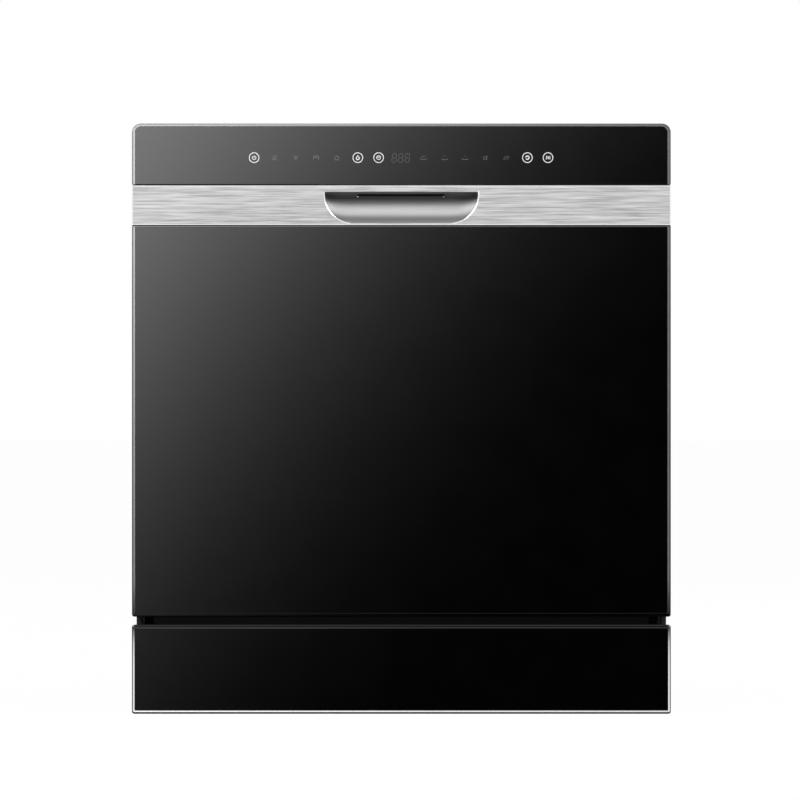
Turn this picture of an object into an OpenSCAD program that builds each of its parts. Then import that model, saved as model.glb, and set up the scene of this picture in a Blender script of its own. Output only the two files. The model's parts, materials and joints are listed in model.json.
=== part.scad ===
// Countertop dishwasher with a drop-down door, a telescopic upper rack and a wheeled lower rack.
// Millimetres. Origin: centre of the footprint, on the surface that the feet stand on.
// +X is the user's right, -Y is the front, +Z is up. Modelled with the door closed.

/* [Overall] */
// Width over the steel handle strip
body_w = 546; // [540:1:580]
// Height from the feet to the top edge of the door
body_h = 598; // [590:1:640]
// Depth from the handle strip to the ends of the rear fittings
body_d = 500; // [490:1:540]

/* [Front] */
// How far the steel strip stands wider than the door frame, each side
strip_over = 0.8; // [0.4:0.1:1.5]
// How far the cabinet is set in from the door frame, each side
cabinet_step = 1.8; // [1:0.1:3]
// How far the steel strip stands proud of the glass
strip_proud = 0.8; // [0.4:0.1:1.5]
// Height of the steel handle strip
strip_h = 41; // [38:1:48]
// Height of the control panel above the strip
control_h = 62; // [55:1:70]
// Height of the plinth panel's top edge
plinth_top = 90.4; // [86:0.2:94]
// Height of the plinth panel's lower edge above the surface
plinth_lift = 1.6; // [1:0.2:4]
// Gap between the plinth and the door
door_gap = 8; // [7:0.2:10]
// Radius of the door's upper corners
corner_r = 9; // [6:0.5:14]
// Radius of the small corners of the door and the plinth
small_r = 2.5; // [1:0.5:4]
// Thickness of the glass panels
glass_t = 4; // [3:0.5:5]
// Width of the bright edge trim round the glass
trim_w = 1.8; // [1:0.2:2.6]
// Dark edge of the frame left outside the trim
trim_edge = 0.7; // [0.5:0.1:1.2]

/* [Handle] */
// Half of the pocket's width
pocket_half = 77.5; // [70:0.5:90]
// Radius of the pocket's bowl
pocket_r = 29; // [26:0.5:31]
// Thickness of the pocket's moulded wall
pocket_wall = 1.6; // [1.2:0.2:2]
// Flat of the strip left above the pocket
pocket_top_flat = 7.4; // [6:0.2:9]
// Half of the latch paddle's width
paddle_half = 43.5; // [36:0.5:50]

/* [Door] */
// Thickness of the door, from the strip to the liner's flange
door_t = 35; // [34:0.5:40]
// Depth of the liner's raised centre
plug_depth = 10; // [8:0.5:12]
// Gap between the liner and the cabinet, which the seal fills
seal_gap = 4; // [3.5:0.5:6]
// Sheet thickness of the steel parts
sheet_t = 0.8; // [0.6:0.1:1.2]
// Wall thickness of the plastic parts
wall_t = 2.4; // [2:0.2:3]
// Hinge axis above the door's lower edge
hinge_up = 9.6; // [9:0.2:11]
// Hinge axis behind the strip's face
hinge_in = 12; // [11:0.5:14]
// Radius of the hinge pins
hinge_pin_r = 3; // [2.5:0.25:3.5]
// Length of the hinge arm's tail
tail_l = 56; // [50:1:60]

/* [Tub] */
// Space between the tub and the cabinet's outside, each side
side_space = 25.3; // [24:0.1:30]
// Space between the tub's ceiling and the door's top edge
roof_space = 32; // [30:1:40]
// Space between the tub's back and the rear panel
rear_space = 27; // [24:1:34]
// Depth of the floor's basin below its ledges
basin_d = 15; // [13:1:18]
// Width of the ledges that the lower rack rolls on
ledge_w = 28; // [26:1:32]
// How far the rear fittings stand out behind the rear panel
fitting_out = 18; // [15:1:25]

/* [Racks] */
// Gap between the closed door's liner and the racks
rack_front_gap = 12; // [11:0.5:16]
// Gap between the racks and the tub's back
rack_back_gap = 28; // [26:1:34]
// Radius of the thick rim wires
rim_r = 2.5; // [2:0.1:3]
// Radius of the thin basket wires
wire_r = 1.7; // [1.5:0.1:2]
// Bend radius of the basket wires
bend_r = 11; // [8:1:14]
// Lower rack's floor above the ledges
lower_up = 40; // [38:1:44]
// Height of the lower rack's basket
lower_h = 118; // [100:1:130]
// Room from the upper rack's floor up to the tub's ceiling
upper_up = 125; // [121:1:135]
// Height of the upper rack's basket
upper_h = 88; // [80:1:92]
// Target pitch of the basket wires
wire_pitch = 46; // [42:1:52]
// Height of the plate tines
tine_h = 62; // [50:1:70]
// Radius of the lower rack's wheels
wheel_r = 15; // [13:0.5:17]
// Width of a wheel
wheel_w = 9; // [7:0.5:10]
// Length of the telescopic rails
rail_l = 376; // [340:1:380]
// Height of the outer rail's channel
rail_h = 36; // [32:1:40]

/* [Spray arms] */
// Length of the lower spray arm
lower_arm_l = 376; // [320:2:380]
// Length of the upper spray arm
upper_arm_l = 376; // [320:2:380]
// Thickness of the arms
arm_t = 11; // [9:0.5:13]
// Radius of a spray nozzle
nozzle_r = 2; // [1.5:0.1:2.5]

/* [Base] */
// Height of a foot's pad
foot_h = 8; // [6:0.5:10]
// Radius of a foot's pad
foot_r = 17; // [14:0.5:20]
// Radius of a foot's stem
stem_r = 5; // [4:0.5:6]
// Inset of the feet from the cabinet's sides
foot_inset = 34; // [28:1:50]

/* [Clearances] */
// Seating gap between pieces that rest against each other
seat = 0.3; // [0.2:0.05:0.4]
// Radial running clearance of a shaft in its hole
run = 0.06; // [0.04:0.01:0.1]

/* [Hidden] */
$fn = 48;
eps = 0.01;
joint_t = 0.1;

// Depths, from the front to the back
front_y = -body_d / 2;
glass_y = front_y + strip_proud;
frame_y = glass_y + glass_t;
liner_y = front_y + door_t;
plug_y = liner_y + plug_depth;
cabinet_y = liner_y + seal_gap;
rear_y = body_d / 2 - fitting_out;
tub_back_y = rear_y - rear_space;
hinge_y = front_y + hinge_in;

// Widths, as halves
strip_x = body_w / 2;
frame_x = strip_x - strip_over;
cabinet_x = frame_x - cabinet_step;
tub_x = cabinet_x - side_space;
trim_x = frame_x - trim_edge;
glass_x = trim_x - trim_w;

// Heights
door_z = plinth_top + door_gap;
hinge_z = door_z + hinge_up;
strip_top = body_h - control_h;
strip_z = strip_top - strip_h;
tub_top = body_h - roof_space;
ledge_z = hinge_z + plug_y - hinge_y;
basin_z = ledge_z - basin_d;
base_z = foot_h + seat;
base_top = plinth_top - 2;
roof_z = body_h - 10;
roof_t = 5.5;

// Base tray and its posts
tray_x = cabinet_x - sheet_t - seat;
plinth_d = 8;
tray_y = glass_y + plinth_d + seat;
tray_rib_h = 8;
post_w = 34;
post_x = tub_x - 40;
post_y = tub_back_y - 40;
post_top = basin_z - wall_t - seat;
foot_x = cabinet_x - foot_inset;
foot_y = rear_y - foot_inset;
stem_l = 26;

// Door
frame_wall = 5.2;
frame_skin = 2.6;
frame_lip = 20;
frame_back_y = liner_y - sheet_t - seat;
hollow_x = frame_x - frame_wall;
screw_x = hollow_x - 7;
screw_low_z = hinge_z + 150;
screw_high_z = strip_z - 60;
plug_x = tub_x - 8;
plug_z = ledge_z + 4;
plug_top = tub_top - 6;
plug_r = 20;
slot_x = frame_x - 19;
slot_top = hinge_z + 17;
strip_sheet = 1.2;

// Handle pocket
pocket_z = strip_z + 2.3;
pocket_top = strip_top - pocket_top_flat;
pocket_cx = pocket_half - pocket_r;
pocket_cz = pocket_z + pocket_r;
ceiling_t = 2;

// Hinges: the arm runs inside, the bracket outside it
arm_x = slot_x + 4;
arm_up = 120;
arm_sheet = 3;
bracket_x = arm_x + arm_sheet + 1;
bracket_sheet = 2.4;
boss_r = hinge_pin_r + 3;
tail_y = hinge_y + tail_l;
tail_half = 5;
tail_hole_r = 2.2;
spring_x = arm_x + arm_sheet / 2;
anchor_z = base_z + 14;
loop_r = 4.5;
spring_wire = 0.9;
spring_turns = 13;

// Racks
rack_front_y = plug_y + rack_front_gap;
rack_back_y = tub_back_y - rack_back_gap;
lower_x = tub_x - ledge_w + 4;
lower_z = ledge_z + lower_up;
upper_x = tub_x - 23;
upper_z = tub_top - upper_up;
wheel_x = lower_x + 6;
wheel_z = ledge_z + wheel_r + seat;
wheel_front_y = gap_mid(cross_ys(), 2);
wheel_back_y = gap_mid(cross_ys(), len(cross_ys()) - 2);
axle_r = 3;
rim_corner = 16;
cut_deg = 0.3;

// Cup shelves, and the folding tines' turning wires
shelf_up = 44;
shelf_z = upper_z + shelf_up;
shelf_wire_r = 1.8;
shelf_axis_x = upper_x - weld(rim_r, wire_r) - weld(wire_r, shelf_wire_r);
shelf_l = 70;
shelf_t = 3;
tine_r = 1.8;
cup_row_x = cross_xs(upper_x)[len(cross_xs(upper_x)) - 4] + wire_r + tine_r + seat;
cup_tine_h = 42;
tine_axis_z = lower_z + 2 * wire_r + tine_r + 2.4;
tine_rod_end = 5.5;
tine_front_y = gap_mid(cross_ys(), 2);
tine_back_y = gap_mid(cross_ys(), 4);

// Telescopic rails, from the tub's wall inwards
rail_sheet = 1.5;
rail_gap = 0.4;
rail_step = rail_sheet + rail_gap;
rail_z = upper_z + 60;
rail_y = rack_front_y + 2;
outer_x = tub_x - seat;
inner_x = upper_x + rim_r + 5;
outer_half = rail_h / 2;

// Spray system
feed_w = 40;
feed_t = 18;
feed_y = tub_back_y - seat - feed_t;
hub_y = (plug_y + feed_y) / 2;
hub_r = 21;
arm_hub_r = 27;
arm_tip_r = 12;
pivot_r = 7;
lower_arm_z = ledge_z + 1;
upper_arm_z = upper_z - 40;
duct_r = 8;
duct_z = upper_z - wire_r - seat - duct_r;
filter_x = 112;
filter_y = hub_y - 34;
filter_r = 34;
plate_r = 58;
sump_r = filter_r + 6;
sump_z = basin_z - 62;
salt_x = -136;
salt_r = 32;

// Dispenser in the door's liner
disp_w = 176;
disp_h = 136;
disp_x = -disp_w / 2;
disp_z = plug_z + 130;
disp_in = 17;
disp_out = 3;
cup_w = 64;
cup_h = 50;
cup_x = disp_x + disp_w - cup_w - 16;
cup_z = disp_z + 12;
cup_d = 14;
lid_t = 2.6;
lid_over = 3;
rinse_x = disp_x + 44;
rinse_z = disp_z + disp_h / 2;
rinse_r = 19;

// Latch
latch_y = frame_y + frame_skin + 5.4;
latch_z = strip_top + 5;
latch_r = 3;
paddle_t = 2.5;
paddle_back_y = latch_y + 13;
hook_half = 5;
strike_half = 11;
strike_r = 2;
strike_y = cabinet_y + 4;
strike_z = tub_top + 6;
hook_z = strike_z + strike_r + 0.4;
hook_t = 4;
hook_end_y = strike_y + 8;

// Cutlery basket, at the front right of the lower rack
basket_w = 122;
basket_l = 118;
basket_h = 104;
basket_x = lower_x - rim_r - 9 - basket_w;
basket_y = rack_front_y + rim_r + 10;
basket_z = lower_z + 2 * wire_r + wire_r + seat;
basket_wall = 1.8;
slot_in = 17;
slot_pitch = 21;
slot_half = 6;
basket_corner = 6;
divider_half = 0.9;

// Softener, power board and filter in the base
softener_front = 52;
softener_back = 60;
softener_left = 62;
softener_right = 48;
softener_drop = 18;
neck_low = 40;
board_x = -90;
board_w = 110;
board_l = 90;
board_y = rear_y - 46 - board_l;
board_h = 36;
board_wall = 2;
board_up = 10;
filter_low = 46;
drain_head_t = 10;
drain_pump_l = 46;
drain_motor_r = 16;

// Air-break box beside the tub
break_t = 16;
break_y = -60;
break_l = 210;
break_z = ledge_z + 49;
break_h = 190;
break_leg_y = break_y + 30;
break_leg_w = 34;
break_leg_z = ledge_z - 31;
break_edge = 14;
break_bay = 38;
break_pitch = 48;
break_skin = 4;

// Rear fittings
inlet_x = tray_x - 99.3;
drain_x = inlet_x - 60;
gland_x = 79.3 - tray_x;
fitting_z = 54;
inlet_r = 13.2;
collar_t = 4;
neck_in = 0.8;
drain_r = 9.5;
gland_r = 4;

// Colours
gloss_black = [0.05, 0.05, 0.06];
soft_black = [0.13, 0.13, 0.14];
steel = [0.75, 0.76, 0.78];
zinc = [0.6, 0.62, 0.65];
pale = [0.82, 0.83, 0.85];
blue_grey = [0.45, 0.5, 0.56];
rack_grey = [0.62, 0.64, 0.67];

// ---------- Helpers ----------

// A block between two corners.
module block(x0, x1, y0, y1, z0, z1) {
    translate([x0, y0, z0]) cube([x1 - x0, y1 - y0, z1 - z0]);
}

// A flat shape drawn in X and Z, given its depth between two Y values.
module slab(y0, y1) {
    translate([0, y1, 0]) rotate([90, 0, 0]) linear_extrude(y1 - y0) children();
}

// A flat shape drawn in Y and Z, given its width between two X values.
module rib(x0, x1) {
    translate([x0, 0, 0]) rotate([90, 0, 90]) linear_extrude(x1 - x0) children();
}

// Corner points of an arc, for the outlines below.
function arc(cx, cy, r, a0, a1, n = 6) =
    r <= eps ? [[cx, cy]] : [for (i = [0:n]) [cx + r * cos(a0 + (a1 - a0) * i / n),
        cy + r * sin(a0 + (a1 - a0) * i / n)]];

// A rectangle with its own radius at the low and at the high corners.
module soft_rect(x0, x1, y0, y1, r_low, r_high) {
    polygon(concat(
        arc(x0 + r_low, y0 + r_low, r_low, 180, 270),
        arc(x1 - r_low, y0 + r_low, r_low, 270, 360),
        arc(x1 - r_high, y1 - r_high, r_high, 0, 90),
        arc(x0 + r_high, y1 - r_high, r_high, 90, 180)));
}

// A rod along X, along Y or along Z.
module rod_x(x0, x1, y, z, r) {
    translate([x0, y, z]) rotate([0, 90, 0]) cylinder(r = r, h = x1 - x0);
}
module rod_y(y0, y1, x, z, r) {
    translate([x, y1, z]) rotate([90, 0, 0]) cylinder(r = r, h = y1 - y0);
}
module rod_z(z0, z1, x, y, r) {
    translate([x, y, z0]) cylinder(r = r, h = z1 - z0);
}

// Both of a mirrored pair.
module both_sides() {
    children();
    mirror([1, 0, 0]) children();
}

// Half of a round bend of wire, from its straight end round to just short of its middle.
module half_bend(bend, r) {
    rotate_extrude(angle = 45 - cut_deg) translate([bend, 0]) circle(r = r);
}

// A level wire along X, turned up at both ends as far as the middle of each bend.
module floor_wire(x0, x1, z0, r) {
    rod_x(x0 + bend_r, x1 - bend_r, 0, z0, r);
    translate([x0 + bend_r, 0, z0 + bend_r]) rotate([90, 0, 0]) rotate([0, 0, 270])
        mirror([0, 1, 0]) half_bend(bend_r, r);
    translate([x1 - bend_r, 0, z0 + bend_r]) rotate([90, 0, 0]) rotate([0, 0, 270]) half_bend(bend_r, r);
}

// The upright that carries on from a floor wire's end at x1.
module upright_wire(x1, z0, z1, r) {
    rod_z(z0 + bend_r, z1, x1, 0, r);
    translate([x1 - bend_r, 0, z0 + bend_r]) rotate([90, 0, 0]) mirror([0, 1, 0]) half_bend(bend_r, r);
}

// One side of a level loop of wire, as far as the middle of its corners: 0 right, 1 back, 2 left, 3 front.
module loop_side(x, y0, y1, z, r, corner, side) {
    cx = x - corner;
    corners = [[cx, y0 + corner], [cx, y1 - corner], [-cx, y1 - corner], [-cx, y0 + corner]];
    if (side % 2 == 0) rod_y(y0 + corner, y1 - corner, (1 - side) * x, z, r);
    else rod_x(-cx, cx, side == 1 ? y1 : y0, z, r);
    translate([corners[side][0], corners[side][1], z]) rotate([0, 0, 90 * side])
        mirror([0, 1, 0]) half_bend(corner, r);
    translate([corners[(side + 1) % 4][0], corners[(side + 1) % 4][1], z]) rotate([0, 0, 90 * side])
        half_bend(corner, r);
}

// How far apart two crossing wires lie when they are welded together.
function weld(a, b) = 0.85 * (a + b);

// Evenly spaced places between a and b, at about the given pitch.
function spread(a, b, pitch) = let (n = max(1, round((b - a) / pitch))) [for (i = [0:n]) a + (b - a) * i / n];

// The middle of the gap that follows place i in a list.
function gap_mid(list, i) = (list[i] + list[i + 1]) / 2;

// Where a basket's crossing wires stand.
function cross_ys() = spread(rack_front_y + bend_r + 7, rack_back_y - bend_r - 7, wire_pitch);
function cross_xs(half) = let (reach = half - weld(rim_r, wire_r) - bend_r - 4) spread(-reach, reach,
    wire_pitch);

// ---------- Cabinet ----------

// A foot's place, from its side and its end: -1 or 1 each.
function foot_at(s, e) = [s * foot_x, e > 0 ? foot_y : tray_y + foot_inset, 0];

// Half of a foot pad's section.
module foot_pad_outline() {
    intersection() {
        soft_rect(-foot_r, foot_r, 0, foot_h, 1, 3);
        translate([0, -eps]) square([foot_r + 1, foot_h + 1]);
    }
}

// A levelling foot: a soft-edged pad on a threaded stem.
module levelling_foot(s, e) {
    color(soft_black) translate(foot_at(s, e)) {
        rotate_extrude() foot_pad_outline();
        rod_z(foot_h - 1, foot_h + stem_l, 0, 0, stem_r);
    }
}
module foot_front_left() { levelling_foot(-1, -1); }
module foot_front_right() { levelling_foot(1, -1); }
module foot_rear_left() { levelling_foot(-1, 1); }
module foot_rear_right() { levelling_foot(1, 1); }

// The moulded tray that carries the whole machine.
module base_tray() {
    boss_h = stem_l + 1;
    color(soft_black) difference() {
        union() {
            difference() {
                block(-tray_x, tray_x, tray_y, rear_y, base_z, base_top);
                block(-tray_x + wall_t, tray_x - wall_t, tray_y + wall_t, rear_y - wall_t,
                    base_z + wall_t, base_top + 1);
            }
            for (s = [-1, 1], e = [-1, 1]) {
                translate(foot_at(s, e)) rod_z(base_z, base_z + boss_h, 0, 0, stem_r + 4);
                post(s, e);
            }
            for (y = spread(tray_y + 70, rear_y - 70, 75)) {
                block(-tray_x + 1, tray_x - 1, y, y + wall_t, base_z + 1, base_z + tray_rib_h);
            }
            both_sides() spring_anchor();
            block(-slot_x + 1, slot_x - 1, tray_y + 1, cabinet_y + 1, base_top - wall_t, base_top);
        }
        for (s = [-1, 1], e = [-1, 1]) {
            translate(foot_at(s, e)) rod_z(base_z - 1, base_z + boss_h + 1, 0, 0, stem_r + run);
        }
        rod_y(rear_y - wall_t - 1, rear_y + 1, inlet_x, fitting_z, inlet_r - neck_in + seat);
        rod_y(rear_y - wall_t - 1, rear_y + 1, drain_x, fitting_z, drain_r - neck_in + seat);
        rod_y(rear_y - wall_t - 1, rear_y + 1, gland_x, fitting_z, gland_r + 3 + seat);
        for (x = spread(-60, 40, 20)) {
            block(x, x + 8, rear_y - wall_t - 1, rear_y + 1, base_z + 14, base_z + 60);
        }
    }
}

// One of four ribbed columns under the tub's floor.
module post(s, e) {
    block(s * post_x - post_w / 2, s * post_x + post_w / 2, e * post_y - wall_t / 2, e * post_y + wall_t / 2,
        base_z + 1, post_top);
    block(s * post_x - wall_t / 2, s * post_x + wall_t / 2, e * post_y - post_w / 2, e * post_y + post_w / 2,
        base_z + 1, post_top);
}

// The eye in the tray that a door spring hooks into.
module spring_anchor() {
    difference() {
        rib(spring_x - arm_sheet / 2, spring_x + arm_sheet / 2) union() {
            translate([tail_y - 9, base_z + 1]) square([18, anchor_z - base_z - 1]);
            translate([tail_y, anchor_z]) circle(r = tail_half);
        }
        rod_x(spring_x - arm_sheet, spring_x + arm_sheet, tail_y, anchor_z, tail_hole_r);
    }
}

// The gloss panel under the door, with a bevelled front and a hollow back.
module plinth_panel() {
    bevel = 1;
    color(gloss_black) difference() {
        union() {
            slab(glass_y, glass_y + bevel + eps)
                soft_rect(-frame_x + bevel, frame_x - bevel, plinth_lift + bevel, plinth_top - bevel,
                    small_r, small_r);
            slab(glass_y + bevel, glass_y + plinth_d)
                soft_rect(-frame_x, frame_x, plinth_lift, plinth_top, small_r, small_r);
        }
        slab(glass_y + glass_t, glass_y + plinth_d + 1)
            soft_rect(-frame_x + wall_t, frame_x - wall_t, plinth_lift + wall_t, plinth_top - wall_t, 1, 1);
        for (s = [-1, 1]) {
            translate(foot_at(s, -1)) rod_z(-1, foot_h + 1, 0, 0, foot_r + 1);
        }
    }
}

// A folded steel side panel, seen from its right-hand twin.
module side_panel() {
    front = tray_y + seat;
    fold = 5;
    color(soft_black) {
        rib(cabinet_x - sheet_t, cabinet_x) polygon([
            [front, base_z], [rear_y, base_z], [rear_y, roof_z], [cabinet_y, roof_z],
            [cabinet_y, base_top], [front, base_top]]);
        block(cabinet_x - fold, cabinet_x, cabinet_y, cabinet_y + sheet_t, base_top, roof_z);
        block(cabinet_x - 12, cabinet_x, cabinet_y + 20, rear_y - 3 * sheet_t, roof_z - sheet_t, roof_z);
        difference() {
            block(cabinet_x - 14, cabinet_x, rear_y - 2 * sheet_t - seat, rear_y - sheet_t - seat,
                base_top + 6, roof_z - 2);
            for (z = spread(base_top + 40, roof_z - 40, 150)) {
                rod_y(rear_y - 5, rear_y, cabinet_x - 7, z, 2);
            }
        }
    }
}
module side_panel_right() { side_panel(); }
module side_panel_left() { mirror([1, 0, 0]) side_panel(); }

// The top panel: a steel lid with rounded long edges and a turned-down skirt.
module top_panel() {
    edge = 4;
    low = roof_z + seat;
    color(soft_black) difference() {
        translate([0, 0, 0]) rotate([90, 0, 0]) translate([0, 0, -rear_y]) linear_extrude(rear_y - cabinet_y)
            soft_rect(-cabinet_x, cabinet_x, low, low + roof_t, 0.1, edge);
        translate([0, 0, 0]) rotate([90, 0, 0]) translate([0, 0, -rear_y + sheet_t])
            linear_extrude(rear_y - cabinet_y - 2 * sheet_t)
            soft_rect(-cabinet_x + sheet_t, cabinet_x - sheet_t, low - 1, low + roof_t - sheet_t, 0.1,
                edge - sheet_t);
    }
}

// The rear panel, with louvres over the base and a pressed stiffening frame.
module rear_panel() {
    half = cabinet_x - sheet_t - seat;
    color([0.5, 0.51, 0.53]) difference() {
        union() {
            block(-half, half, rear_y - sheet_t, rear_y, base_top + seat, roof_z - seat);
            difference() {
                slab(rear_y - 3, rear_y - sheet_t + eps) soft_rect(-200, 200, 190, roof_z - 50, 20, 20);
                slab(rear_y - 4, rear_y) soft_rect(-192, 192, 198, roof_z - 58, 14, 14);
            }
        }
        slab(rear_y - sheet_t - 1, rear_y + 1) for (x = spread(-120, 120, 16)) {
            translate([x, base_top + 30]) square([7, 44]);
        }
    }
}

// ---------- Tub ----------

// Sides and roof of the tub, folded from one sheet, with a sealing flange all round the mouth. Above the roof
// the flange is two strips that leave a notch for the latch's hook.
module tub_wrapper() {
    low = ledge_z + seat;
    flange = 18;
    hinge_flange = 8;
    hinge_top = hinge_z + tail_l + 14;
    seam_z = tub_top + sheet_t + joint_t;
    color(steel) difference() {
        union() {
            slab(cabinet_y, tub_back_y) difference() {
                soft_rect(-tub_x - sheet_t, tub_x + sheet_t, low, tub_top + sheet_t, 0, plug_r + sheet_t);
                soft_rect(-tub_x, tub_x, low - 1, tub_top, 0, plug_r);
            }
            slab(cabinet_y, cabinet_y + sheet_t) difference() {
                union() {
                    soft_rect(-tub_x - hinge_flange, tub_x + hinge_flange, low, tub_top, 0, 1);
                    soft_rect(-tub_x - flange, tub_x + flange, hinge_top, tub_top + flange, 3, 3);
                }
                soft_rect(-tub_x, tub_x, low - 1, tub_top, 0, plug_r);
            }
        }
        block(-strike_half - 1, strike_half + 1, cabinet_y - 1, cabinet_y + sheet_t + 1,
            seam_z, tub_top + flange + 1);
        block(-tub_x - flange - 1, tub_x + flange + 1, cabinet_y - 1, cabinet_y + sheet_t + 1,
            seam_z, seam_z + joint_t);
    }
}

// The tub's back, with two pressed panels and a turned edge that meets the wrapper.
module tub_back() {
    low = ledge_z + seat;
    color(steel) difference() {
        slab(tub_back_y + seat, tub_back_y + seat + sheet_t)
            soft_rect(-tub_x - sheet_t, tub_x + sheet_t, low, tub_top + sheet_t, 0, plug_r + sheet_t);
        slab(tub_back_y, tub_back_y + 2) translate([0, ledge_z + 30]) circle(r = 4);
    }
    color(steel) for (s = [-1, 1]) {
        slab(tub_back_y + seat + sheet_t - eps, tub_back_y + seat + 2 * sheet_t) difference() {
            soft_rect(min(s * 60, s * 200), max(s * 60, s * 200), low + 60, tub_top - 60, 18, 18);
            soft_rect(min(s * 66, s * 194), max(s * 66, s * 194), low + 66, tub_top - 66, 13, 13);
        }
    }
}

// The moulded floor: a basin between ledges, with seats for the filter, the arm and the salt cap.
module tub_floor() {
    half = tub_x - seat;
    back = tub_back_y;
    lip = 14;
    basin_x = tub_x - ledge_w;
    skirt_z = base_top + seat;
    color(blue_grey) difference() {
        union() {
            block(-half, half, cabinet_y, back, basin_z - wall_t, ledge_z);
            block(-half - 8, half + 8, cabinet_y, cabinet_y + wall_t, skirt_z, ledge_z);
            rod_z(basin_z - 12, basin_z, filter_x, filter_y, filter_r + 4);
        }
        translate([0, 0, basin_z]) linear_extrude(basin_d + 1)
            soft_rect(-basin_x, basin_x, cabinet_y + lip, back - lip, 30, 30);
        difference() {
            block(-half + wall_t, half - wall_t, cabinet_y + wall_t, back - wall_t, skirt_z - 1,
                ledge_z - wall_t);
            translate([0, 0, skirt_z - 2]) linear_extrude(ledge_z - skirt_z)
                soft_rect(-basin_x - wall_t, basin_x + wall_t, cabinet_y + lip - wall_t,
                    back - lip + wall_t, 32, 32);
            block(-feed_w / 2 - 3, feed_w / 2 + 3, back - lip - 6, back, skirt_z - 2, ledge_z);
        }
        block(-feed_w / 2 - seat, feed_w / 2 + seat, back - lip - 6, back - wall_t, basin_z, ledge_z + 1);
        rod_z(basin_z - 20, basin_z + 1, filter_x, filter_y, filter_r + 1);
        rod_z(basin_z - 20, basin_z + 1, 0, hub_y, hub_r - 6);
        rod_z(basin_z - 20, basin_z + 1, salt_x, filter_y, salt_r - 2);
    }
}

// The hollow rubber seal round the tub's mouth, squeezed by the closed door.
module door_seal() {
    low = hinge_z + hinge_up + 2.5;
    out = 7;
    wide = 6;
    color([0.2, 0.2, 0.21]) slab(liner_y + seat, cabinet_y - seat) difference() {
        soft_rect(-tub_x - out, tub_x + out, low, tub_top + out, 6, plug_r + out);
        soft_rect(-tub_x - out + wide, tub_x + out - wide, low + wide, tub_top + out - wide, 2,
            plug_r + out - wide);
    }
}

// ---------- Water system ----------

// The sump under the filter, with its outlets to the two pumps.
module sump() {
    low = sump_z;
    top = basin_z - 12 - seat;
    color(soft_black) difference() {
        union() {
            rod_z(low, top, filter_x, filter_y, sump_r);
            rod_y(filter_y + sump_r - 6, filter_y + sump_r + 14, filter_x, low + 20, 14);
            rod_x(filter_x + sump_r - 6, filter_x + sump_r + 12, filter_y, low + 16, 9);
        }
        rod_z(low + wall_t, top + 1, filter_x, filter_y, sump_r - wall_t);
        rod_y(filter_y, filter_y + sump_r + 15, filter_x, low + 20, 14 - wall_t);
        rod_x(filter_x, filter_x + sump_r + 13, filter_y, low + 16, 9 - wall_t);
    }
}

// The circulation pump: a wet end with its volute, and a finned motor behind it.
module circulation_pump() {
    y = filter_y + sump_r + 14 + seat;
    z = sump_z + 20;
    color(zinc) {
        rod_y(y, y + 8, filter_x, z, 16);
        rod_y(y + 7, y + 30, filter_x, z, 33);
        rod_y(y + 29, y + 96, filter_x, z, 27);
        for (a = [0:30:330]) {
            translate([filter_x, 0, z]) rotate([0, a, 0]) block(-1.2, 1.2, y + 36, y + 90, 25, 31);
        }
        rod_z(z + 10, basin_z - wall_t - 6, filter_x - 26, y + 19, 9);
    }
}

// The drain pump, on the side of the sump.
module drain_pump() {
    x = filter_x + sump_r + 12 + seat;
    z = sump_z + 16;
    color(soft_black) {
        rod_x(x, x + drain_head_t, filter_y, z, drain_motor_r + 4);
        rod_x(x + drain_head_t - 1, x + drain_pump_l, filter_y, z, drain_motor_r);
        rod_y(filter_y + 8, filter_y + 30, x + 5, z + 8, 7);
    }
}

// The water softener: a tank of salt and resin, with a neck up through the tub's floor.
module water_softener() {
    tank_z = base_z + tray_rib_h + seat;
    tank_top = basin_z - wall_t - softener_drop;
    color(pale) difference() {
        union() {
            translate([0, 0, tank_z]) linear_extrude(tank_top - tank_z)
                soft_rect(salt_x - softener_left, salt_x + softener_right, filter_y - softener_front,
                    filter_y + softener_back, 14, 14);
            rod_z(basin_z - neck_low, basin_z + 1, salt_x, filter_y, salt_r - 2 - seat);
        }
        rod_z(basin_z - neck_low + 4, basin_z + 2, salt_x, filter_y, salt_r - 5);
    }
}

// The salt cap: a knurled screw cap with a cross grip.
module salt_cap() {
    low = basin_z + 1 + seat;
    color(pale) translate([salt_x, filter_y, 0]) difference() {
        union() {
            rod_z(low, low + 5, 0, 0, salt_r);
            rod_z(low - 24, low + 1, 0, 0, salt_r - 5 - run);
            block(-salt_r + 5, salt_r - 5, -3.5, 3.5, low + 4, low + 11);
        }
        for (a = [0:20:340]) {
            rotate([0, 0, a]) rod_z(low - 1, low + 6, salt_r + 1.2, 0, 2.4);
        }
        rod_z(low - 25, low - 3, 0, 0, salt_r - 9);
    }
}

// The flat moulded box beside the tub that meters the water in.
module air_break_box() {
    x = tub_x + sheet_t + seat;
    color(pale) difference() {
        rib(-x - break_t, -x) union() {
            translate([break_y, break_z]) square([break_l, break_h]);
            translate([break_leg_y, break_leg_z]) square([break_leg_w, break_z - break_leg_z + 1]);
        }
        rib(-x - break_t - 1, -x - break_skin) for (i = [0:3]) {
            translate([break_y + break_edge + break_pitch * i, break_z + 20]) square([break_bay, break_h - 40]);
        }
    }
}

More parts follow.
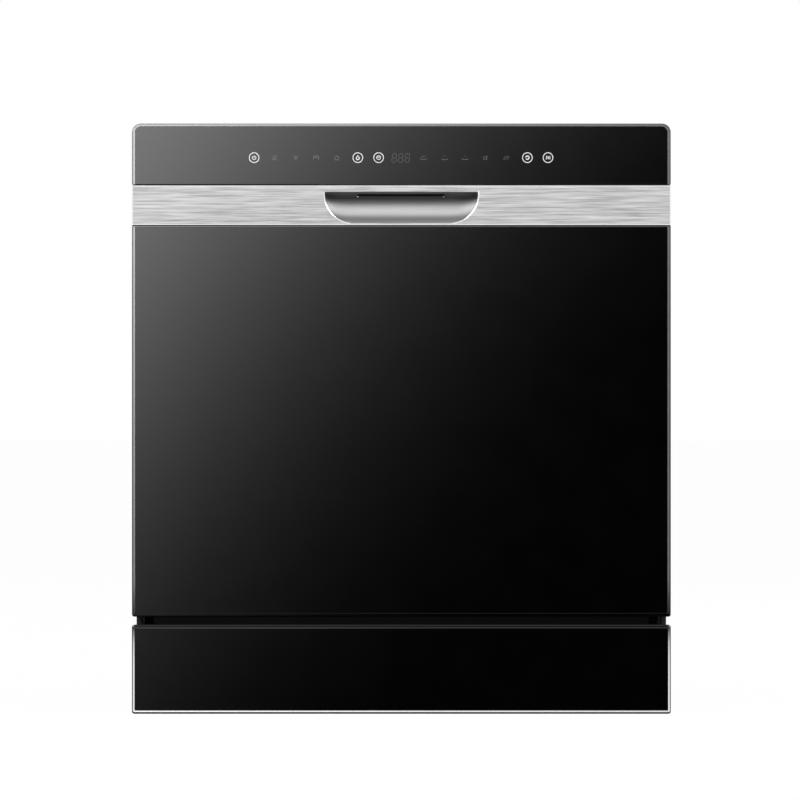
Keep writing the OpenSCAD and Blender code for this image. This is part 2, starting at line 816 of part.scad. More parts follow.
// The inlet valve: a solenoid body inside, and the hose thread outside.
module inlet_valve() {
    color([0.35, 0.4, 0.5]) {
        difference() {
            union() {
                rod_y(rear_y - wall_t - 1, rear_y + collar_t, inlet_x, fitting_z, inlet_r - neck_in);
                rod_y(rear_y + seat, rear_y + collar_t, inlet_x, fitting_z, inlet_r + 3);
                rod_y(rear_y + collar_t - eps, body_d / 2, inlet_x, fitting_z, inlet_r);
            }
            rod_y(rear_y - 10, body_d / 2 + 1, inlet_x, fitting_z, inlet_r - 3.4);
        }
        rod_y(rear_y - wall_t - 8, rear_y - wall_t - seat, inlet_x, fitting_z, inlet_r + 3);
        block(inlet_x - 15, inlet_x + 15, rear_y - 42, rear_y - wall_t - 7, fitting_z - 15, fitting_z + 22);
    }
}

// The drain outlet: a spigot with a flange inside the wall and a collar outside it.
module drain_outlet() {
    color(soft_black) difference() {
        union() {
            rod_y(rear_y - wall_t - 1, rear_y + collar_t, drain_x, fitting_z, drain_r - neck_in);
            rod_y(rear_y + seat, rear_y + collar_t, drain_x, fitting_z, drain_r + 4);
            rod_y(rear_y + collar_t - eps, body_d / 2 - 2, drain_x, fitting_z, drain_r);
            rod_y(rear_y - wall_t - 6, rear_y - wall_t - seat, drain_x, fitting_z, drain_r + 5);
            rod_y(rear_y - wall_t - 30, rear_y - wall_t - 5, drain_x, fitting_z, drain_r - 1);
        }
        rod_y(rear_y - wall_t - 31, body_d / 2, drain_x, fitting_z, drain_r - 2.5);
    }
}

// The bush in the tray's rear wall that a mains cord passes through.
module cord_gland() {
    hole_r = gland_r + 3;
    color(soft_black) difference() {
        union() {
            rod_y(rear_y - wall_t - 6, rear_y + 6, gland_x, fitting_z, hole_r);
            rod_y(rear_y + seat, rear_y + 4, gland_x, fitting_z, hole_r + 3.5);
            rod_y(rear_y - wall_t - 4, rear_y - wall_t - seat, gland_x, fitting_z, hole_r + 2.5);
        }
        rod_y(rear_y - wall_t - 7, rear_y + 7, gland_x, fitting_z, gland_r);
    }
}

// The power board in its housing, on the tray's floor.
module power_board() {
    low = base_z + tray_rib_h + seat;
    x0 = board_x + board_wall;
    x1 = board_x + board_w - board_wall;
    y0 = board_y + board_wall;
    y1 = board_y + board_l - board_wall;
    color([0.25, 0.27, 0.3]) difference() {
        block(board_x, board_x + board_w, board_y, board_y + board_l, low, low + board_h);
        block(x0, x1, y0, y1, low + board_wall, low + board_h + 1);
    }
    color([0.1, 0.4, 0.2]) block(x0, x1, y0, y1, low + board_up, low + board_up + 2);
}

// The duct up the tub's back that feeds the upper arm, and its socket.
module spray_feed() {
    color(pale) difference() {
        union() {
            translate([0, feed_y, 0]) linear_extrude(duct_z + 16)
                translate([0, 0]) soft_rect(-feed_w / 2, feed_w / 2, 0, feed_t, 4, 4);
            rod_y(feed_y - 14, feed_y + 2, 0, duct_z, duct_r + 3);
        }
        block(-feed_w, feed_w, feed_y - 1, tub_back_y, -1, basin_z + seat);
        block(-feed_w, feed_w, tub_back_y - wall_t - seat, tub_back_y, basin_z, ledge_z + seat);
        translate([0, feed_y + 2, 0]) translate([0, 0, basin_z]) linear_extrude(duct_z + 13 - basin_z)
            soft_rect(-feed_w / 2 + 2, feed_w / 2 - 2, 0, feed_t - 4, 2, 2);
        rod_y(feed_y - 15, feed_y + 4, 0, duct_z, duct_r + seat);
    }
}

// Plan of a spray arm: a round hub that tapers to two round ends.
module arm_plan(length, inset) {
    tip_x = length / 2 - arm_tip_r;
    hub = arm_hub_r - inset;
    tip = arm_tip_r - inset;
    circle(r = hub);
    for (s = [0, 180]) rotate([0, 0, s]) {
        translate([tip_x, 0]) circle(r = tip);
        polygon([[0, -hub * 0.8], [tip_x, -tip], [tip_x, tip], [0, hub * 0.8]]);
    }
}

// A hollow spray arm round its pivot, with nozzles along the top.
module spray_arm(length, low) {
    skin = 1.6;
    color([0.55, 0.57, 0.6]) translate([0, hub_y, low]) difference() {
        union() {
            linear_extrude(arm_t) arm_plan(length, 0);
            rod_z(-1, arm_t + 1, 0, 0, pivot_r + 6);
        }
        difference() {
            translate([0, 0, skin]) linear_extrude(arm_t - 2 * skin) arm_plan(length, skin);
            rod_z(-2, arm_t + 2, 0, 0, pivot_r + 3);
        }
        rod_z(-2, arm_t + 2, 0, 0, pivot_r + run);
        for (s = [-1, 1], x = spread(46, length / 2 - arm_tip_r, 30)) {
            rod_z(arm_t - skin - 1, arm_t + 1, s * x, s * (4 - x / 30), nozzle_r);
        }
    }
}
module lower_spray_arm() { spray_arm(lower_arm_l, lower_arm_z); }
module upper_spray_arm() { spray_arm(upper_arm_l, upper_arm_z); }

// The pivot that the lower arm turns on, fed through the tub's floor.
module lower_arm_hub() {
    step = lower_arm_z - 1 - seat;
    color(pale) translate([0, hub_y, 0]) difference() {
        union() {
            rod_z(basin_z - 10, basin_z + 1, 0, 0, hub_r - 6 - seat);
            rod_z(basin_z + seat, step, 0, 0, hub_r);
            rod_z(step - 1, lower_arm_z + arm_t + 4, 0, 0, pivot_r);
            rod_z(lower_arm_z + arm_t + 1 + seat, lower_arm_z + arm_t + 5, 0, 0, pivot_r + 5);
        }
        rod_z(basin_z - 11, step, 0, 0, pivot_r - 3);
    }
}

// The duct under the upper rack: it plugs into the feed at the back and carries the arm's pivot.
module upper_arm_duct() {
    top = upper_arm_z + arm_t + 1 + seat;
    color(pale) difference() {
        union() {
            rod_y(hub_y, feed_y - 2, 0, duct_z, duct_r);
            translate([0, hub_y, 0]) {
                rod_z(top, duct_z, 0, 0, 15);
                rod_z(upper_arm_z - 4, duct_z, 0, 0, pivot_r);
                rod_z(upper_arm_z - 5, upper_arm_z - 1 - seat, 0, 0, pivot_r + 5);
            }
            translate([0, hub_y, duct_z]) sphere(r = duct_r);
        }
        rod_y(hub_y, feed_y, 0, duct_z, duct_r - 2);
    }
    color(pale) for (y = cross_ys()) if (y > hub_y + 30 && y < rack_back_y - 20) {
        block(-4, 4, y - 1, y + 1, duct_z + duct_r - 1, upper_z - wire_r - 0.1);
    }
}

// The fine filter: a slotted plate round the coarse filter's hole.
module fine_filter() {
    color(steel) translate([filter_x, filter_y, basin_z + seat]) difference() {
        cylinder(r = plate_r, h = 1.4);
        translate([0, 0, -1]) cylinder(r = filter_r - 1, h = 4);
        for (a = [0:15:345]) rotate([0, 0, a]) block(filter_r + 5, plate_r - 5, -1.2, 1.2, -1, 3);
    }
}

// The coarse filter: a slotted basket that lifts out by its ring.
module coarse_filter() {
    low = basin_z - filter_low;
    top = basin_z + 2 + seat;
    color(soft_black) translate([filter_x, filter_y, 0]) {
        difference() {
            union() {
                rod_z(low, top + 1, 0, 0, filter_r - 2);
                rod_z(top, top + 3, 0, 0, filter_r + 5);
            }
            rod_z(low + 2, top + 4, 0, 0, filter_r - 4.4);
            for (a = [0:30:330]) rotate([0, 0, a]) block(filter_r - 8, filter_r, -3, 3, low + 6,
                basin_z - 16);
        }
        difference() {
            block(-filter_r + 4, filter_r - 4, -2, 2, top - 4, top + 8);
            rod_y(-3, 3, 0, top + 1, 3.5);
        }
    }
}

// ---------- Rails and upper rack ----------

// Section of a rail: a channel whose web stands at x1, open towards the lower x0.
module channel(x0, x1, half, t) {
    difference() {
        translate([x0, -half]) square([x1 - x0, 2 * half]);
        translate([x0 - 1, -half + t]) square([x1 - x0 + 1 - t, 2 * (half - t)]);
    }
}

// The channels screwed to the tub's walls.
module outer_rails() {
    color(steel) both_sides() {
        difference() {
            slab(rail_y, rail_y + rail_l) translate([0, rail_z])
                channel(inner_x + 2, outer_x, outer_half, rail_sheet);
            for (y = spread(rail_y + 40, rail_y + rail_l - 40, 148)) {
                rod_x(outer_x - 3, outer_x + 1, y, rail_z, 2.6);
            }
        }
        block(outer_x - 8, outer_x, rail_y + rail_l, rail_y + rail_l + 2, rail_z - outer_half,
            rail_z + outer_half);
    }
}

// The telescoping channels between the outer and inner rails.
module middle_rails() {
    color(zinc) both_sides() difference() {
        slab(rail_y, rail_y + rail_l - seat) translate([0, rail_z])
            channel(inner_x + 1, outer_x - rail_step, outer_half - rail_step, rail_sheet);
        for (y = spread(rail_y + 60, rail_y + rail_l - 60, 85)) {
            rod_x(outer_x - 5, outer_x, y, rail_z, 4);
        }
    }
}

// The inner rails, with the hooks that hold the basket's rim.
module inner_rails() {
    hook_x = upper_x + rim_r + seat;
    half = outer_half - 2 * rail_step;
    color(steel) both_sides() {
        slab(rail_y, rail_y + rail_l - seat) translate([0, rail_z]) difference() {
            translate([inner_x, -half]) square([outer_x - 2 * rail_step - inner_x, 2 * half]);
            translate([inner_x + rail_sheet, -half + rail_sheet])
                square([outer_x - inner_x, 2 * (half - rail_sheet)]);
        }
        for (y = [rail_y + 50, rail_y + rail_l - 70]) {
            block(hook_x, inner_x + 1, y, y + 20, rail_z - half + 2, upper_z + upper_h + rim_r);
        }
    }
}

// A wire basket: a floor and four sides of welded wire that meet in the middle of their bends, each side with
// its part of the thick rim and of the thin loop at loop_h.
module wire_basket(half, low, height, loop_h) {
    inner = weld(rim_r, wire_r);
    side = half - inner;
    front = rack_front_y + inner;
    back = rack_back_y - inner;
    loop = weld(wire_r, wire_r);
    top = low + height;
    for (y = cross_ys()) translate([0, y, 0]) {
        floor_wire(-side, side, low, wire_r);
        both_sides() upright_wire(side, low, top, wire_r);
    }
    for (x = cross_xs(half)) translate([x, 0, 0]) {
        rotate([0, 0, 90]) floor_wire(front, back, low + loop, wire_r);
        rotate([0, 0, 90]) upright_wire(back, low + loop, top, wire_r);
        rotate([0, 0, -90]) upright_wire(-front, low + loop, top, wire_r);
    }
    for (i = [0:3]) {
        loop_side(half, rack_front_y, rack_back_y, top, rim_r, rim_corner, i);
        loop_side(side + loop, front - loop, back + loop, low + loop_h, wire_r - 0.1, rim_corner - 2, i);
    }
}

// A tine: an upright wire with a round end.
module tine(x, y, low, height) {
    rod_z(low, low + height, x, y, tine_r);
    translate([x, y, low + height]) sphere(r = tine_r);
}

// The upper rack's basket, with the side wires that its cup shelves turn on and two rows of tines.
module upper_rack_basket() {
    ys = cross_ys();
    last = len(ys) - 1;
    row_z = upper_z + wire_r + tine_r + seat;
    color(rack_grey) {
        wire_basket(upper_x, upper_z, upper_h, shelf_up);
        both_sides() {
            rod_y(ys[0] - 3, ys[last] + 3, shelf_axis_x, shelf_z, shelf_wire_r);
            rod_y(ys[0] - 3, ys[last] + 3, cup_row_x, row_z, tine_r);
            for (y = ys) tine(cup_row_x, y, row_z, cup_tine_h);
        }
    }
}

// A cup shelf: a slotted plate on clips that snap round the basket's side wire.
module cup_shelf() {
    ys = cross_ys();
    y0 = gap_mid(ys, 1);
    y1 = gap_mid(ys, 5);
    clip_r = shelf_wire_r + 2.2;
    low = shelf_z - clip_r;
    plate_x = shelf_axis_x - 2;
    color(blue_grey) difference() {
        union() {
            translate([0, 0, low]) linear_extrude(shelf_t) difference() {
                soft_rect(plate_x - shelf_l, plate_x, y0 - 16, y1 + 16, 8, 8);
                for (y = spread(y0, y1, 22)) {
                    translate([plate_x - shelf_l + 10, y - 5]) square([shelf_l - 24, 8]);
                }
                for (i = [2:4]) translate([plate_x - 4, ys[i] - 4]) square([8, 8]);
            }
            for (i = [1:5]) let (y = gap_mid(ys, i)) {
                rod_y(y - 7, y + 7, shelf_axis_x, shelf_z, clip_r);
                block(plate_x - 4, shelf_axis_x, y - 7, y + 7, low, shelf_z);
            }
        }
        rod_y(y0 - 30, y1 + 30, shelf_axis_x, shelf_z, shelf_wire_r + run);
        for (i = [1:6]) {
            block(plate_x - 3, shelf_axis_x + clip_r + 1, ys[i] - 5, ys[i] + 5, low - 1,
                shelf_z + clip_r + 1);
        }
    }
}
module cup_shelf_right() { cup_shelf(); }
module cup_shelf_left() { mirror([1, 0, 0]) cup_shelf(); }

// ---------- Lower rack ----------

// The lower rack's basket, with a fixed row of tines at the back.
module lower_rack_basket() {
    ys = cross_ys();
    xs = cross_xs(lower_x);
    last = len(xs) - 1;
    row = ys[len(ys) - 2];
    row_z = lower_z + weld(wire_r, wire_r) + wire_r + tine_r + seat;
    color(rack_grey) {
        wire_basket(lower_x, lower_z, lower_h, lower_h / 2);
        rod_x(xs[0] - 3, xs[last] + 3, row, row_z, tine_r);
        for (i = [0:last - 1], t = [0.25, 0.75]) {
            tine(xs[i] + t * (xs[i + 1] - xs[i]), row, row_z, tine_h);
        }
    }
}

// The plastic carriers that hang from the lower rack's sides, each with an axle.
module wheel_carriers() {
    outer = lower_x - weld(rim_r, wire_r) - wire_r - seat;
    color(soft_black) both_sides() for (y = [wheel_front_y, wheel_back_y]) {
        difference() {
            union() {
                rib(outer - 5, outer) union() {
                    translate([y - 13, wheel_z]) square([26, lower_z + 22 - wheel_z]);
                    translate([y, wheel_z]) circle(r = 13);
                }
                rod_x(outer - 1, wheel_x + wheel_w / 2 + 2, y, wheel_z, axle_r);
                rod_x(wheel_x + wheel_w / 2 + seat, wheel_x + wheel_w / 2 + 2, y, wheel_z, axle_r + 1.6);
                rod_x(outer - 1, wheel_x - wheel_w / 2 - seat, y, wheel_z, axle_r + 2);
            }
            rod_y(y - 14, y + 14, outer - 2.5, lower_z + 16, 1.5);
        }
    }
}

// One wheel with a dished rim and a hub.
module rack_wheel(y) {
    color(pale) translate([wheel_x, y, wheel_z]) rotate([0, 90, 0]) difference() {
        translate([0, 0, -wheel_w / 2]) cylinder(r = wheel_r, h = wheel_w);
        translate([0, 0, -wheel_w]) cylinder(r = axle_r + run, h = 2 * wheel_w);
        translate([0, 0, wheel_w / 2 - 3]) difference() {
            cylinder(r = wheel_r - 3, h = 4);
            translate([0, 0, -1]) cylinder(r = axle_r + 3, h = 6);
        }
    }
}
module front_wheels() { both_sides() rack_wheel(wheel_front_y); }
module rear_wheels() { both_sides() rack_wheel(wheel_back_y); }

// The clips that a folding row's wire turns in, snapped over the basket's floor.
module tine_clips() {
    xs = cross_xs(lower_x);
    floor_z = lower_z + weld(wire_r, wire_r);
    color(blue_grey) for (row = [tine_front_y, tine_back_y], i = [0, 3, 5]) {
        difference() {
            block(xs[i] - 4, xs[i] + 4, row - 6, row + 6, floor_z - wire_r - 1.6, tine_axis_z + tine_r + 2);
            rod_y(row - 7, row + 7, xs[i], floor_z, wire_r + run);
            rod_x(xs[i] - 5, xs[i] + 5, row, tine_axis_z, tine_r + run);
        }
    }
}

// A folding row of tines on its turning wire.
module fold_tines(row) {
    xs = cross_xs(lower_x);
    color(rack_grey) {
        rod_x(xs[0] - tine_rod_end, xs[5] + tine_rod_end, row, tine_axis_z, tine_r);
        for (x = [xs[0] - tine_rod_end, xs[5] + tine_rod_end]) translate([x, row, tine_axis_z])
            sphere(r = tine_r + 0.3);
        for (i = [0:4], t = [0.25, 0.75]) {
            tine(xs[i] + t * (xs[i + 1] - xs[i]), row, tine_axis_z, tine_h);
        }
    }
}
module fold_tines_front() { fold_tines(tine_front_y); }
module fold_tines_rear() { fold_tines(tine_back_y); }

// The cutlery basket: slotted panels that clip into round corner posts, a grid floor and dividers.
module cutlery_basket() {
    x1 = basket_x + basket_w;
    y1 = basket_y + basket_l;
    mid_x = (basket_x + x1) / 2;
    mid_y = (basket_y + y1) / 2;
    top = basket_z + basket_h;
    floor_z = basket_z + basket_wall;
    slot_low = basket_z + 14;
    slot_top = top - 20;
    xs = spread(basket_x + slot_in, x1 - slot_in, slot_pitch);
    ys = spread(basket_y + slot_in, y1 - slot_in, slot_pitch);
    inner_r = basket_corner - basket_wall;
    inside = basket_wall + joint_t;
    divider_top = top - 12;
    color(blue_grey) {
        difference() {
            translate([0, 0, basket_z]) linear_extrude(basket_wall)
                soft_rect(basket_x, x1, basket_y, y1, basket_corner, basket_corner);
            for (x = xs, y = ys) {
                block(x - slot_half, x + slot_half, y - slot_half, y + slot_half, basket_z - 1, floor_z + 1);
            }
        }
        difference() {
            translate([0, 0, floor_z + joint_t]) linear_extrude(top - floor_z - joint_t) difference() {
                soft_rect(basket_x, x1, basket_y, y1, basket_corner, basket_corner);
                soft_rect(basket_x + basket_wall, x1 - basket_wall, basket_y + basket_wall, y1 - basket_wall,
                    inner_r, inner_r);
            }
            for (x = xs) block(x - slot_half, x + slot_half, basket_y - 1, y1 + 1, slot_low, slot_top);
            for (y = ys) block(basket_x - 1, x1 + 1, y - slot_half, y + slot_half, slot_low, slot_top);
            for (x = [basket_x + basket_corner, x1 - basket_corner - joint_t]) {
                block(x, x + joint_t, basket_y - 1, y1 + 1, basket_z, top + 1);
            }
            for (y = [basket_y + basket_corner, y1 - basket_corner - joint_t]) {
                block(basket_x - 1, x1 + 1, y, y + joint_t, basket_z, top + 1);
            }
        }
        difference() {
            block(mid_x - divider_half, mid_x + divider_half, basket_y + inside, y1 - inside,
                floor_z + joint_t, divider_top);
            for (y = ys) block(mid_x - 2, mid_x + 2, y - slot_half, y + slot_half, slot_low, slot_top);
        }
        for (half = [[basket_x + inside, mid_x - divider_half - joint_t],
                     [mid_x + divider_half + joint_t, x1 - inside]]) difference() {
            block(half[0], half[1], mid_y - divider_half, mid_y + divider_half, floor_z + joint_t,
                divider_top);
            for (x = xs) block(x - slot_half, x + slot_half, mid_y - 2, mid_y + 2, slot_low, slot_top);
        }
    }
}

// ---------- Door ----------

// Outline of the handle's pocket in the strip: flat on top, round at both lower corners.
module pocket_plan(grow) {
    intersection() {
        union() {
            for (s = [-1, 1]) translate([s * pocket_cx, pocket_cz]) circle(r = pocket_r + grow);
            translate([-pocket_cx, pocket_cz - pocket_r - grow]) square([2 * pocket_cx,
                2 * pocket_r + 2 * grow]);
        }
        translate([-strip_x, strip_z - 1]) square([2 * strip_x, pocket_top + grow - strip_z + 1]);
    }
}

// The scoop behind that outline: a round bar with ball ends.
module scoop(radius) {
    rod_x(-pocket_cx, pocket_cx, front_y, pocket_cz, radius);
    for (s = [-1, 1]) translate([s * pocket_cx, front_y, pocket_cz]) sphere(r = radius);
}

// The moulded frame that everything on the door is fixed to.
module door_frame() {
    low = door_z;
    color(soft_black) difference() {
        slab(frame_y, frame_back_y) soft_rect(-frame_x, frame_x, low, body_h, small_r, corner_r);
        slab(frame_y + frame_skin, frame_back_y + 1)
            soft_rect(-hollow_x, hollow_x, low + frame_wall, body_h - frame_wall, 1, corner_r - 4);
        slab(frame_y - 1, frame_y + frame_skin + 1)
            soft_rect(-frame_x + frame_lip, frame_x - frame_lip, low + frame_lip, strip_z - 12, 6, 6);
        slab(frame_y - 1, frame_y + frame_skin + 1)
            soft_rect(-frame_x + frame_lip, frame_x - frame_lip, strip_top + 14, body_h - 14, 4, 4);
        slab(frame_y - 1, frame_y + frame_skin + 1) translate([-pocket_half - 6, pocket_z - 3])
            square([2 * pocket_half + 12, strip_top + ceiling_t + 1 - pocket_z + 3]);
        both_sides() block(slot_x, hollow_x, frame_y - 1, frame_back_y + 1, low - 1, slot_top);
    }
    color(soft_black) for (s = [-1, 1], z = [screw_low_z, screw_high_z]) {
        difference() {
            rod_y(frame_y + 1, frame_back_y, s * screw_x, z, 5);
            rod_y(frame_back_y - 10, frame_back_y + 1, s * screw_x, z, 1.6);
        }
        block(s * (hollow_x - 3.5) - 4, s * (hollow_x - 3.5) + 4, frame_y + 1, frame_back_y, z - 1.5,
            z + 1.5);
    }
}

// The gloss glass that covers the door below the strip.
module door_glass() {
    color(gloss_black) slab(glass_y, frame_y)
        soft_rect(-glass_x, glass_x, door_z + trim_edge + trim_w, strip_z - seat - trim_w, 1.5, 0.5);
}

// The touch glass above the strip.
module control_glass() {
    color(gloss_black) slab(glass_y, frame_y)
        soft_rect(-glass_x, glass_x, strip_top + seat, body_h - trim_edge - trim_w, 0.5,
            corner_r - trim_edge - trim_w);
}

// The bright trim round both glasses.
module edge_trim() {
    gap = 0.05;
    color(zinc) {
        slab(glass_y, frame_y) difference() {
            soft_rect(-trim_x, trim_x, door_z + trim_edge, strip_z - seat, small_r - trim_edge, 0.4);
            soft_rect(-glass_x - gap, glass_x + gap, door_z + trim_edge + trim_w - gap,
                strip_z - seat - trim_w + gap, 1.5, 0.5);
        }
        slab(glass_y, frame_y) difference() {
            soft_rect(-trim_x, trim_x, strip_top + seat, body_h - trim_edge, 0.4, corner_r - trim_edge);
            soft_rect(-glass_x - gap, glass_x + gap, strip_top - 1, body_h - trim_edge - trim_w + gap,
                0.5, corner_r - trim_edge - trim_w);
        }
    }
}

// The folded steel strip with the handle's opening.
module handle_strip() {
    color(steel) difference() {
        slab(front_y, frame_y) soft_rect(-strip_x, strip_x, strip_z, strip_top, 0.6, 0.6);
        slab(front_y + strip_sheet, frame_y + 1)
            soft_rect(-strip_x + strip_sheet, strip_x - strip_sheet, strip_z + strip_sheet,
                strip_top - strip_sheet, 0, 0);
        slab(front_y - 1, front_y + strip_sheet + 1) pocket_plan(0);
        block(-pocket_half - 3, pocket_half + 3, front_y + strip_sheet, frame_y + 1, strip_z - 1,
            pocket_z + 2);
    }
}

// The moulded scoop behind the strip, its ceiling and the ears that carry the latch.
module handle_pocket() {
    lip_y = front_y + strip_sheet + seat;
    wide = pocket_half + pocket_wall;
    color(soft_black) {
        difference() {
            intersection() {
                scoop(pocket_r + pocket_wall);
                union() {
                    block(-wide - 1, wide + 1, lip_y, liner_y, strip_z - 5, strip_top - strip_sheet - seat);
                    block(-wide - 1, wide + 1, frame_y + seat, liner_y, strip_z - 5, strip_top);
                }
            }
            scoop(pocket_r);
        }
        difference() {
            block(-pocket_cx - 18, pocket_cx + 18, frame_y + seat, front_y + pocket_r + 2,
                strip_top - eps, strip_top + ceiling_t);
            block(-paddle_half - 1, paddle_half + 1, latch_y - latch_r - 1, paddle_back_y + 1, strip_top - 1,
                strip_top + ceiling_t + 1);
        }
        both_sides() difference() {
            rib(paddle_half + 2, paddle_half + 7) union() {
                translate([latch_y - 5, strip_top]) square([10, latch_z - strip_top]);
                translate([latch_y, latch_z]) circle(r = 5);
            }
            rod_x(paddle_half, paddle_half + 8, latch_y, latch_z, latch_r + run);
        }
    }
}

// The latch: a paddle that fingers push up, its shaft, and the hook that reaches the strike.
module latch_lever() {
    color(zinc) {
        rod_x(-paddle_half - 7, paddle_half + 7, latch_y, latch_z, latch_r);
        block(-paddle_half, paddle_half, latch_y - 1.5, latch_y + 1.5, strip_top - 1, latch_z);
        block(-paddle_half, paddle_half, latch_y - 1.5, paddle_back_y, strip_top - paddle_t, strip_top);
        rib(-hook_half, hook_half) polygon([
            [latch_y + 1, strip_top - paddle_t], [latch_y + 7, strip_top - paddle_t],
            [latch_y + 7, hook_z], [hook_end_y, hook_z],
            [hook_end_y, hook_z + hook_t * 0.6], [hook_end_y - 2, hook_z + hook_t],
            [latch_y + 4, hook_z + hook_t], [latch_y + 1, hook_z + hook_t - 3]]);
    }
}

// The strike on the tub's flange: a bar between two cheeks.
module latch_strike() {
    back = strike_y + 6;
    front = cabinet_y + sheet_t + seat;
    color(zinc) {
        both_sides() block(strike_half, strike_half + 2.5, front, back, strike_z - 4.5, strike_z + 9);
        rod_x(-strike_half + joint_t, strike_half - joint_t, strike_y, strike_z, strike_r);
    }
}

// The steel inner face of the door, drawn out to a soft-cornered plug.
module door_liner() {
    flange_x = frame_x - 2;
    emboss = 1.2;
    color(steel) difference() {
        union() {
            slab(liner_y - sheet_t, liner_y)
                soft_rect(-flange_x, flange_x, door_z + 2, body_h - 3, small_r, corner_r - 2);
            slab(liner_y - sheet_t, plug_y) soft_rect(-plug_x, plug_x, plug_z, plug_top, plug_r, plug_r);
            slab(plug_y - eps, plug_y + emboss)
                soft_rect(-plug_x + 34, plug_x - 34, disp_z + disp_h + 24, plug_top - 26, 12, 12);
            slab(plug_y - eps, plug_y + emboss)
                soft_rect(-plug_x + 34, plug_x - 34, plug_z + 26, disp_z - 24, 12, 12);
        }
        slab(liner_y - sheet_t - 1, plug_y - sheet_t)
            soft_rect(-plug_x + sheet_t, plug_x - sheet_t, plug_z + sheet_t, plug_top - sheet_t,
                plug_r - sheet_t, plug_r - sheet_t);
        slab(liner_y - 2, plug_y + 2)
            soft_rect(disp_x - seat, disp_x + disp_w + seat, disp_z - seat, disp_z + disp_h + seat, 8, 8);
        both_sides() block(slot_x, flange_x + 1, liner_y - 2, liner_y + 1, door_z + 1, slot_top);
        block(-strike_half, strike_half, liner_y - 2, liner_y + 1, plug_top + sheet_t + 2, body_h - 10);
        both_sides() for (z = [screw_low_z, screw_high_z]) {
            rod_y(liner_y - 2, liner_y + 1, screw_x, z, 2);
        }
    }
}

// The dispenser: its moulded body with the powder cup, the rails and the rinse-aid hole.
module dispenser() {
    face = plug_y + disp_out;
    rail_out = face + lid_t + 2 * seat + 1.6;
    lid_x0 = cup_x - lid_over - seat;
    lid_x1 = cup_x + cup_w + lid_over + seat;
    color(blue_grey) {
        difference() {
            union() {
                slab(plug_y - disp_in, plug_y)
                    soft_rect(disp_x, disp_x + disp_w, disp_z, disp_z + disp_h, 8, 8);
                slab(plug_y + seat, face)
                    soft_rect(disp_x - 4, disp_x + disp_w + 4, disp_z - 4, disp_z + disp_h + 4, 10, 10);
                slab(plug_y - 1, plug_y + 1)
                    soft_rect(disp_x, disp_x + disp_w, disp_z, disp_z + disp_h, 8, 8);
            }
            slab(face - cup_d, face + 1) soft_rect(cup_x, cup_x + cup_w, cup_z, cup_z + cup_h, 6, 6);
            rod_y(face - cup_d, face + 1, rinse_x, rinse_z, rinse_r - 6);
        }
        for (side = [[lid_x0 - 3, lid_x0, lid_x0 - 3, lid_x0 + 2],
            [lid_x1, lid_x1 + 3, lid_x1 - 2, lid_x1 + 3]]) {
            block(side[0], side[1], face - 1, rail_out, cup_z - 4, disp_z + disp_h - 2);
            block(side[2], side[3], rail_out - 1.6, rail_out, cup_z - 4, disp_z + disp_h - 2);
        }
    }
}

// The lid that slides up to open the powder cup.
module dispenser_lid() {
    low = plug_y + disp_out + seat;
    color(pale) {
        slab(low, low + lid_t)
            soft_rect(cup_x - lid_over, cup_x + cup_w + lid_over, cup_z - lid_over,
                cup_z + cup_h + lid_over, 3, 3);
        for (z = spread(cup_z + 10, cup_z + 22, 4)) {
            block(cup_x + 16, cup_x + cup_w - 16, low + lid_t - 0.2, low + lid_t + 1.4, z, z + 1.6);
        }
    }
}

// The rinse-aid cap: a disc with a grip bar and a plug.
module rinse_cap() {
    low = plug_y + disp_out + seat;
    color([0.35, 0.5, 0.68]) {
        rod_y(low, low + 2.6, rinse_x, rinse_z, rinse_r);
        rod_y(low - 9, low + 1, rinse_x, rinse_z, rinse_r - 6 - run);
        difference() {
            block(rinse_x - 14, rinse_x + 14, low + 2, low + 6.4, rinse_z - 2.5, rinse_z + 2.5);
            rod_z(rinse_z - 3, rinse_z + 3, rinse_x - 14, low + 7.4, 3);
            rod_z(rinse_z - 3, rinse_z + 3, rinse_x + 14, low + 7.4, 3);
        }
    }
}

// ---------- Hinges ----------

// The brackets on the tray: a plate up from behind, and the pin that carries the door.
module hinge_brackets() {
    color(zinc) both_sides() {
        difference() {
            rib(bracket_x, bracket_x + bracket_sheet) union() {
                translate([hinge_y, hinge_z]) circle(r = boss_r);
                polygon([
                    [hinge_y, hinge_z - boss_r], [hinge_y + 14, hinge_z - boss_r],
                    [cabinet_y - 12, base_top - 8], [cabinet_y - 12, base_z + 30],
                    [cabinet_y + 18, base_z + 30], [cabinet_y + 18, base_top],
                    [cabinet_y - 6, hinge_z + boss_r], [hinge_y, hinge_z + boss_r]]);
            }
            for (z = [base_z + 42, base_top - 12]) {
                rod_x(bracket_x - 1, bracket_x + bracket_sheet + 1, cabinet_y + 8, z, 2.6);
            }
        }
        rod_x(arm_x - 1.5, bracket_x + 1, hinge_y, hinge_z, hinge_pin_r);
        rod_x(arm_x - 1.5, arm_x - seat, hinge_y, hinge_z, hinge_pin_r + 1.4);
        for (y = [cabinet_y - 6, cabinet_y + 12]) {
            rod_x(bracket_x + 1, tray_x - wall_t - seat, y, base_z + 36, 4);
        }
    }
}

